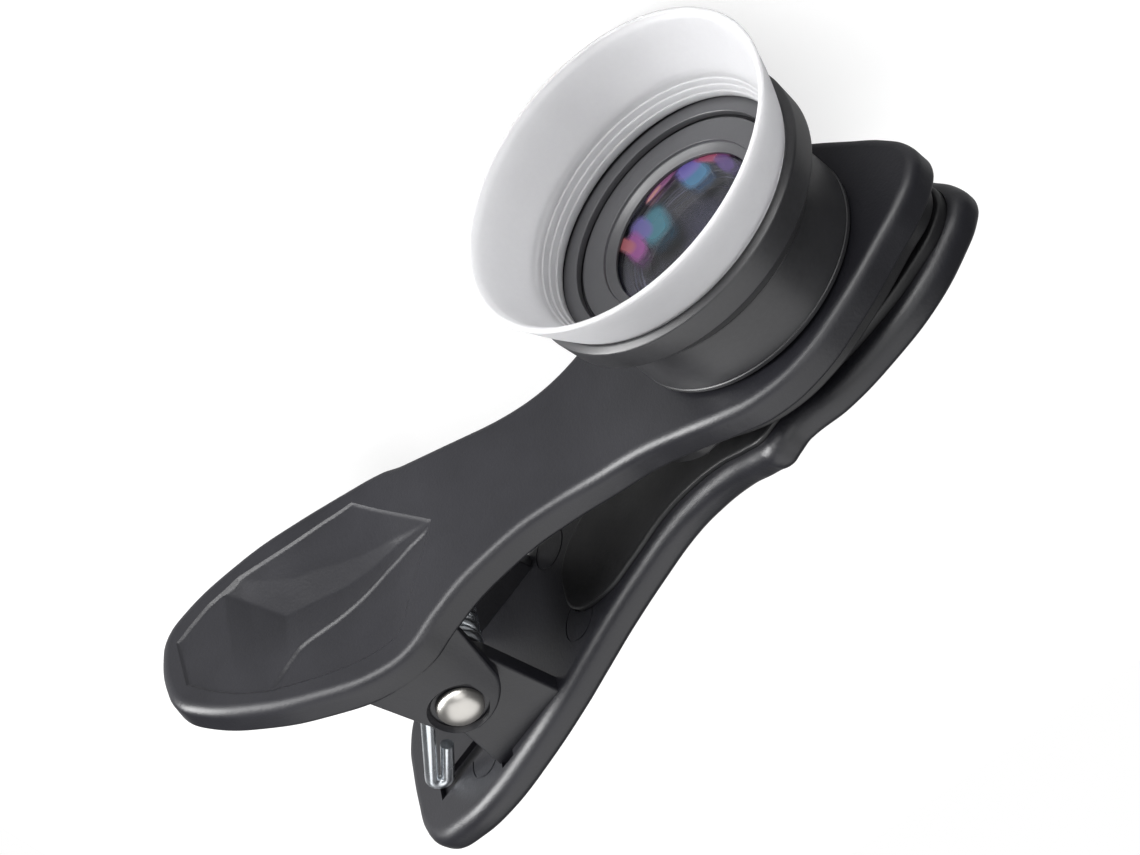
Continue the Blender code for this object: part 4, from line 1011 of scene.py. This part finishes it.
def make_barrel():
    turned("barrel_shell", [
        (10.35, 5.70, 0.28), (10.35, 0.95, 0.0), (10.27, 0.90, 0.0), (10.27, 0.74, 0.0), (10.35, 0.69, 0.0),
        (10.35, 0.30, 0.18), (8.35, 0.30, 0.0), (8.35, -2.45, 0.3), (7.15, -2.45, 0.0), (7.15, -0.4, 0.0),
        (6.2, -0.4, 0.0), (6.2, 0.4, 0.0), (7.15, 0.4, 0.0), (7.15, 2.3, 0.0), (8.95, 2.3, 0.0),
        (8.95, 5.7, 0.0),
    ], BLACK, "barrel_group", "lens_black", "lens_barrel", steps=4)
    turned("barrel_clamp_ring", [(7.0, 2.0, 0.1), (7.0, 1.7, 0.05), (5.9, 1.7, 0.05), (5.9, 2.0, 0.1)],
           BLACK, "barrel_group", "lens_black", "barrel_ring")
    turned("rear_clamp_ring", [(7.0, -1.7, 0.05), (7.0, -2.3, 0.1), (5.9, -2.3, 0.15), (5.9, -1.7, 0.05)],
           SATIN, "barrel_group", "lens_black", "rear_ring")
    lens("third_glass", 0.7, 1.4, 0.2, 0.2, GLASS, "barrel_group", "third_lens")
    # The rear glass carries painted reflections and painted reflection rings
    lens("rear_glass", -1.4, -0.7, 0.2, 0.2, PAINTED_REFLECTION_GLASS, "barrel_group", "rear_lens")


def lens(name, low, high, bottom_crown, top_crown, material, body, *nodes):
    """A glass element with crowned faces and a ground edge."""
    top = []
    bottom = []
    for step in range(GLASS_STEPS):
        radius = GLASS_R * step / GLASS_STEPS
        rise = 1.0 - (radius / GLASS_R) ** 2
        top.append((radius, high + top_crown * rise))
        bottom.append((radius, low - bottom_crown * rise))
    edge = [(GLASS_R - GLASS_EDGE, high), (GLASS_R, high - GLASS_EDGE)]
    edge += [(GLASS_R, low + GLASS_EDGE), (GLASS_R - GLASS_EDGE, low)]
    mesh = lathe_mesh(top + edge + list(reversed(bottom)), 96, closed=False)
    piece(name, mesh, material, body, "lens_glass", *nodes, weighted=False)


def make_cell():
    turned("front_shell", [
        (12.10, 10.35, 0.10), (12.65, 10.00, 0.16), (12.45, 7.75, 0.10), (10.75, 6.00, 0.10),
        (8.80, 6.00, 0.0),
        (8.80, 2.60, 0.1), (6.20, 2.60, 0.0), (6.20, 3.40, 0.0), (7.15, 3.40, 0.0), (7.15, 6.50, 0.0),
        (9.50, 6.50, 0.0), (9.50, 7.20, 0.0), (11.05, 7.20, 0.0), (11.05, 8.05, 0.0), (11.90, 8.05, 0.0),
        (11.90, 10.35, 0.05),
    ], BLACK, "cell_group", "lens_black", "front_cell", steps=4)
    turned("face_band", [(10.90, 8.05, 0.06), (10.90, 7.50, 0.0), (9.60, 7.50, 0.0), (9.60, 8.05, 0.08)],
           SATIN, "cell_group", "lens_black", "front_face_ring")
    turned("glass_retainer", [
        (9.35, 7.60, 0.08), (9.35, 6.80, 0.0), (6.60, 6.80, 0.0), (6.60, 7.02, 0.04), (6.70, 7.06, 0.0),
        (7.22, 7.38, 0.04), (7.30, 7.40, 0.0), (7.36, 7.60, 0.04),
    ], SATIN, "cell_group", "retainer_black", "front_retainer", steps=4)
    turned("glass_spacer", [(7.0, 5.2, 0.05), (7.0, 4.7, 0.05), (5.9, 4.7, 0.05), (5.9, 5.2, 0.15)],
           BLACK, "cell_group", "lens_black", "spacer_ring")
    # The front glass and the second glass carry painted reflections
    lens("front_glass", 5.5, 6.65, 0.0, 0.8, FRONT_GLASS, "cell_group", "front_lens")
    lens("second_glass", 3.7, 4.4, 0.2, 0.2, PAINTED_REFLECTION_GLASS, "cell_group", "second_lens")


def make_hood():
    """Neck with fine steps inside, then a flared skirt with a rounded rim."""
    outer = []
    inner = []
    for step in range(HOOD_STEPS + 1):
        share = step / HOOD_STEPS
        flare = HOOD_FLARE * (share + HOOD_BOW * share * (1.0 - share))
        outer.append((HOOD_NECK_R + flare, HOOD_NECK_Z + HOOD_HEIGHT * share))
        inner.append((HOOD_INNER_R + flare + HOOD_RIM_THIN * share ** 4, HOOD_NECK_Z + HOOD_HEIGHT * share))
    rim_r, rim_z = outer[-1]
    outer = outer[:-1] + [(rim_r - 0.01, rim_z - 0.22), (rim_r - 0.06, rim_z - 0.08)]
    outer += [(rim_r - 0.15, rim_z - 0.02)]
    tip = [(rim_r - 0.24, rim_z), (rim_r - 0.33, rim_z - 0.02), (rim_r - 0.42, rim_z - 0.08)]
    inner = [(rim_r - 0.47, rim_z - 0.22)] + list(reversed(inner[:-1]))
    neck = []
    for step in range(1, 4):
        radius = HOOD_INNER_R - NECK_STEP_IN * step
        height = HOOD_NECK_Z - NECK_STEP_DOWN * step
        neck += [(radius + 0.20, height + 0.42), (radius + 0.12, height + 0.10), (radius, height + 0.04)]
    neck += [(10.70, 8.85), (10.70, 8.35), (11.75, 8.35), (11.75, 10.62)]
    mesh = lathe_mesh(neck + outer + tip + inner, TURN_SEGMENTS)
    piece("hood_skirt", mesh, HOOD, "hood_group", "hood_frosted", "hood", weighted=False)


# Rivet and spring

def make_rivet():
    seat = RIVET_SEAT_Y + 0.04
    dome = []
    for step in range(17):
        angle = 0.5 * math.pi * step / 16
        height = seat + 0.12 + (RIVET_HEAD_HEIGHT + 0.14) * math.cos(angle)
        dome.append((RIVET_HEAD_R * math.sin(angle), height))
    dome += [(RIVET_HEAD_R, seat + 0.05), (RIVET_HEAD_R - 0.06, seat)]
    tail = [
        (RIVET_SHANK_R, seat), (RIVET_SHANK_R, -seat), (RIVET_TAIL_R, -seat), (RIVET_TAIL_R, -seat - 0.22),
        (1.42, -seat - 0.40), (1.1, -seat - 0.52), (0.62, -seat - 0.55), (0.50, -seat - 0.40),
        (0.0, -seat - 0.34),
    ]
    mesh = lathe_mesh(dome + tail, 64, "Y", closed=False)
    mesh.transform(HINGE_PLACE)
    piece("rivet_body", mesh, CHROME, "lower_clip", "rivet_chrome", "hinge_rivet", weighted=False, sharp=40.0)


def folded_leg(centre, sense):
    """The angle at which the wire leaves the coil, and the points of its leg and fold."""
    dx = centre[0] - HINGE_X
    dz = sense * (centre[1] - HINGE_Z)
    offset = math.acos((COIL_R - FOLD_R) / math.hypot(dx, dz))
    leave = math.atan2(dz, dx) - offset
    points = []
    for step in range(19):
        angle = leave + math.radians(FOLD_TURN) * step / 18
        points.append((FOLD_R * math.cos(angle), FOLD_R * math.sin(angle)))
    heading = leave + math.radians(FOLD_TURN + 90.0)
    last_x, last_z = points[-1]
    points.append((last_x + FOLD_LENGTH * math.cos(heading), last_z + FOLD_LENGTH * math.sin(heading)))
    return sense * leave, [(centre[0] + x, centre[1] + sense * z) for x, z in points]


def make_spring():
    """A close coil on the rivet, with a folded leg on each arm, swept as one wire."""
    rest = WIRE_R + WIRE_GAP - LEG_GROOVE_DEPTH + FOLD_R
    low_point = LOWER_PATH.point(LOWER_PATH.along_at(FOLD_X), rest)
    high_point = UPPER_PATH.point(UPPER_PATH.along_at(FOLD_X), -ARM_THICKNESS - rest)
    low_angle, low_points = folded_leg(low_point, 1.0)
    high_angle, high_points = folded_leg(high_point, -1.0)
    sweep = (low_angle - high_angle) % (2.0 * math.pi) + COIL_TURNS * 2.0 * math.pi
    length = COIL_PITCH * sweep / (2.0 * math.pi)
    steps = round(COIL_STEPS * sweep / (2.0 * math.pi))
    points = [(x, -LEG_OFFSET, z) for x, z in reversed(low_points)]
    for step in range(steps + 1):
        share = step / steps
        angle = low_angle - sweep * share
        y = -length / 2.0 + length * share
        points.append((HINGE_X + COIL_R * math.cos(angle), y, HINGE_Z + COIL_R * math.sin(angle)))
    points += [(x, LEG_OFFSET, z) for x, z in high_points]
    curve = bpy.data.curves.new("spring", "CURVE")
    curve.dimensions = "3D"
    curve.bevel_depth = WIRE_R
    curve.bevel_resolution = 5
    curve.use_fill_caps = True
    spline = curve.splines.new("POLY")
    spline.points.add(len(points) - 1)
    for point, place in zip(spline.points, points):
        point.co = (*place, 1.0)
    obj = holder("spring", curve)
    mesh = evaluated(obj)
    bpy.data.objects.remove(obj, do_unlink=True)
    edited(mesh, lambda bm: bmesh.ops.remove_doubles(bm, verts=bm.verts, dist=0.001))
    made = piece("spring_wire", mesh, ZINC, None, "spring_zinc", "torsion_spring", weighted=False, sharp=50.0)
    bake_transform(made)


# Camera, stage and lights

AMBIENT = 0.12
FLOOR_HALF = 0.068
FLOOR_SHOWN = 1.06
FLOOR_SHARE = 0.45
FLOOR_BOUNCE = 0.41
# Soft panels: name, place, target, size in m, power in W
PANELS = (
    ("front_panel", (-0.22, 0.46, 0.13), (0.0, 0.0, 0.02), (1.00, 0.24), 6.0),
    ("left_panel", (-0.50, 0.33, 0.06), (0.0, 0.0, 0.01), (0.40, 0.20), 4.0),
    ("right_panel", (0.24, 0.60, 0.08), (0.02, 0.0, 0.01), (0.44, 0.24), 2.4),
    ("fill", (0.25, 0.36, 0.45), (0.0, 0.0, 0.01), (0.45, 0.45), 1.2),
    ("overhead", (-0.10, -0.35, 0.85), (0.0, 0.0, 0.0), (1.6, 1.5), 11.5),
)


def make_camera():
    data = bpy.data.cameras.new("camera")
    data.sensor_width = SENSOR_MM
    data.lens = FOCAL_PX * SENSOR_MM / PHOTO_WIDTH_PX
    data.clip_start = 0.01
    data.clip_end = 20.0
    camera = bpy.data.objects.new("camera", data)
    bpy.context.scene.collection.objects.link(camera)
    up = -CAMERA_DOWN
    back = CAMERA_RIGHT.cross(up)
    turn = Matrix((CAMERA_RIGHT, up, back)).transposed()
    camera.matrix_world = Matrix.Translation(CAMERA_PLACE) @ turn.to_4x4()
    bpy.context.scene.camera = camera


def add_light(name, place, target, size, power):
    """A soft rectangular panel that faces its target."""
    data = bpy.data.lights.new(name, "AREA")
    data.shape = "RECTANGLE"
    data.size, data.size_y = size
    data.energy = power
    light = bpy.data.objects.new(name, data)
    bpy.context.scene.collection.objects.link(light)
    light.location = place
    light.rotation_mode = "QUATERNION"
    light.rotation_quaternion = (Vector(target) - Vector(place)).to_track_quat("-Z", "Y")


def make_stage():
    """A small white floor, and a world that is white to the camera and dim to the object."""
    bm = bmesh.new()
    bmesh.ops.create_grid(bm, x_segments=1, y_segments=1, size=FLOOR_HALF)
    floor = holder("floor", to_mesh(bm, "floor"))
    floor.data.materials.append(floor_material())
    world = bpy.data.worlds.new("studio")
    bpy.context.scene.world = world
    world.use_nodes = True
    tree = world.node_tree
    shown = tree.nodes["Background"]
    set_sockets(shown, Color=(1.0, 1.0, 1.0, 1.0), Strength=1.0)
    lit = node(tree, "ShaderNodeBackground", Color=(0.97, 0.98, 1.0, 1.0), Strength=AMBIENT)
    seen = tree.nodes.new("ShaderNodeLightPath").outputs["Is Camera Ray"]
    both = mixed_shaders(tree, seen, lit.outputs[0], shown.outputs[0])
    tree.links.new(both, tree.nodes["World Output"].inputs["Surface"])


def floor_material():
    """White paper that keeps a soft shadow. It throws less light back than it shows."""
    material, tree, shader = new_material("floor_white")
    tree.nodes.remove(shader)
    paper = node(tree, "ShaderNodeBsdfDiffuse", Color=(FLOOR_SHARE, FLOOR_SHARE, FLOOR_SHARE, 1.0))
    glow = node(tree, "ShaderNodeEmission", Strength=FLOOR_SHOWN - FLOOR_SHARE)
    both = tree.nodes.new("ShaderNodeAddShader")
    tree.links.new(paper.outputs[0], both.inputs[0])
    tree.links.new(glow.outputs[0], both.inputs[1])
    dim = node(tree, "ShaderNodeBsdfDiffuse", Color=(FLOOR_BOUNCE, FLOOR_BOUNCE, FLOOR_BOUNCE, 1.0))
    rays = tree.nodes.new("ShaderNodeLightPath")
    seen = computed(tree, "MAXIMUM", rays.outputs["Is Camera Ray"], rays.outputs["Is Transmission Ray"])
    whole = mixed_shaders(tree, seen, dim.outputs[0], both.outputs[0])
    tree.links.new(whole, tree.nodes["Material Output"].inputs["Surface"])
    return material


for made in NODES.values():
    made.data.materials.clear()
    made.data.materials.append(PLASTIC)

make_upper_arm()
make_lower_arm()
make_pads()
make_barrel()
make_cell()
make_hood()
make_rivet()
make_spring()
make_camera()
make_stage()
for panel in PANELS:
    add_light(*panel)

bpy.context.scene.view_settings.view_transform = "Standard"
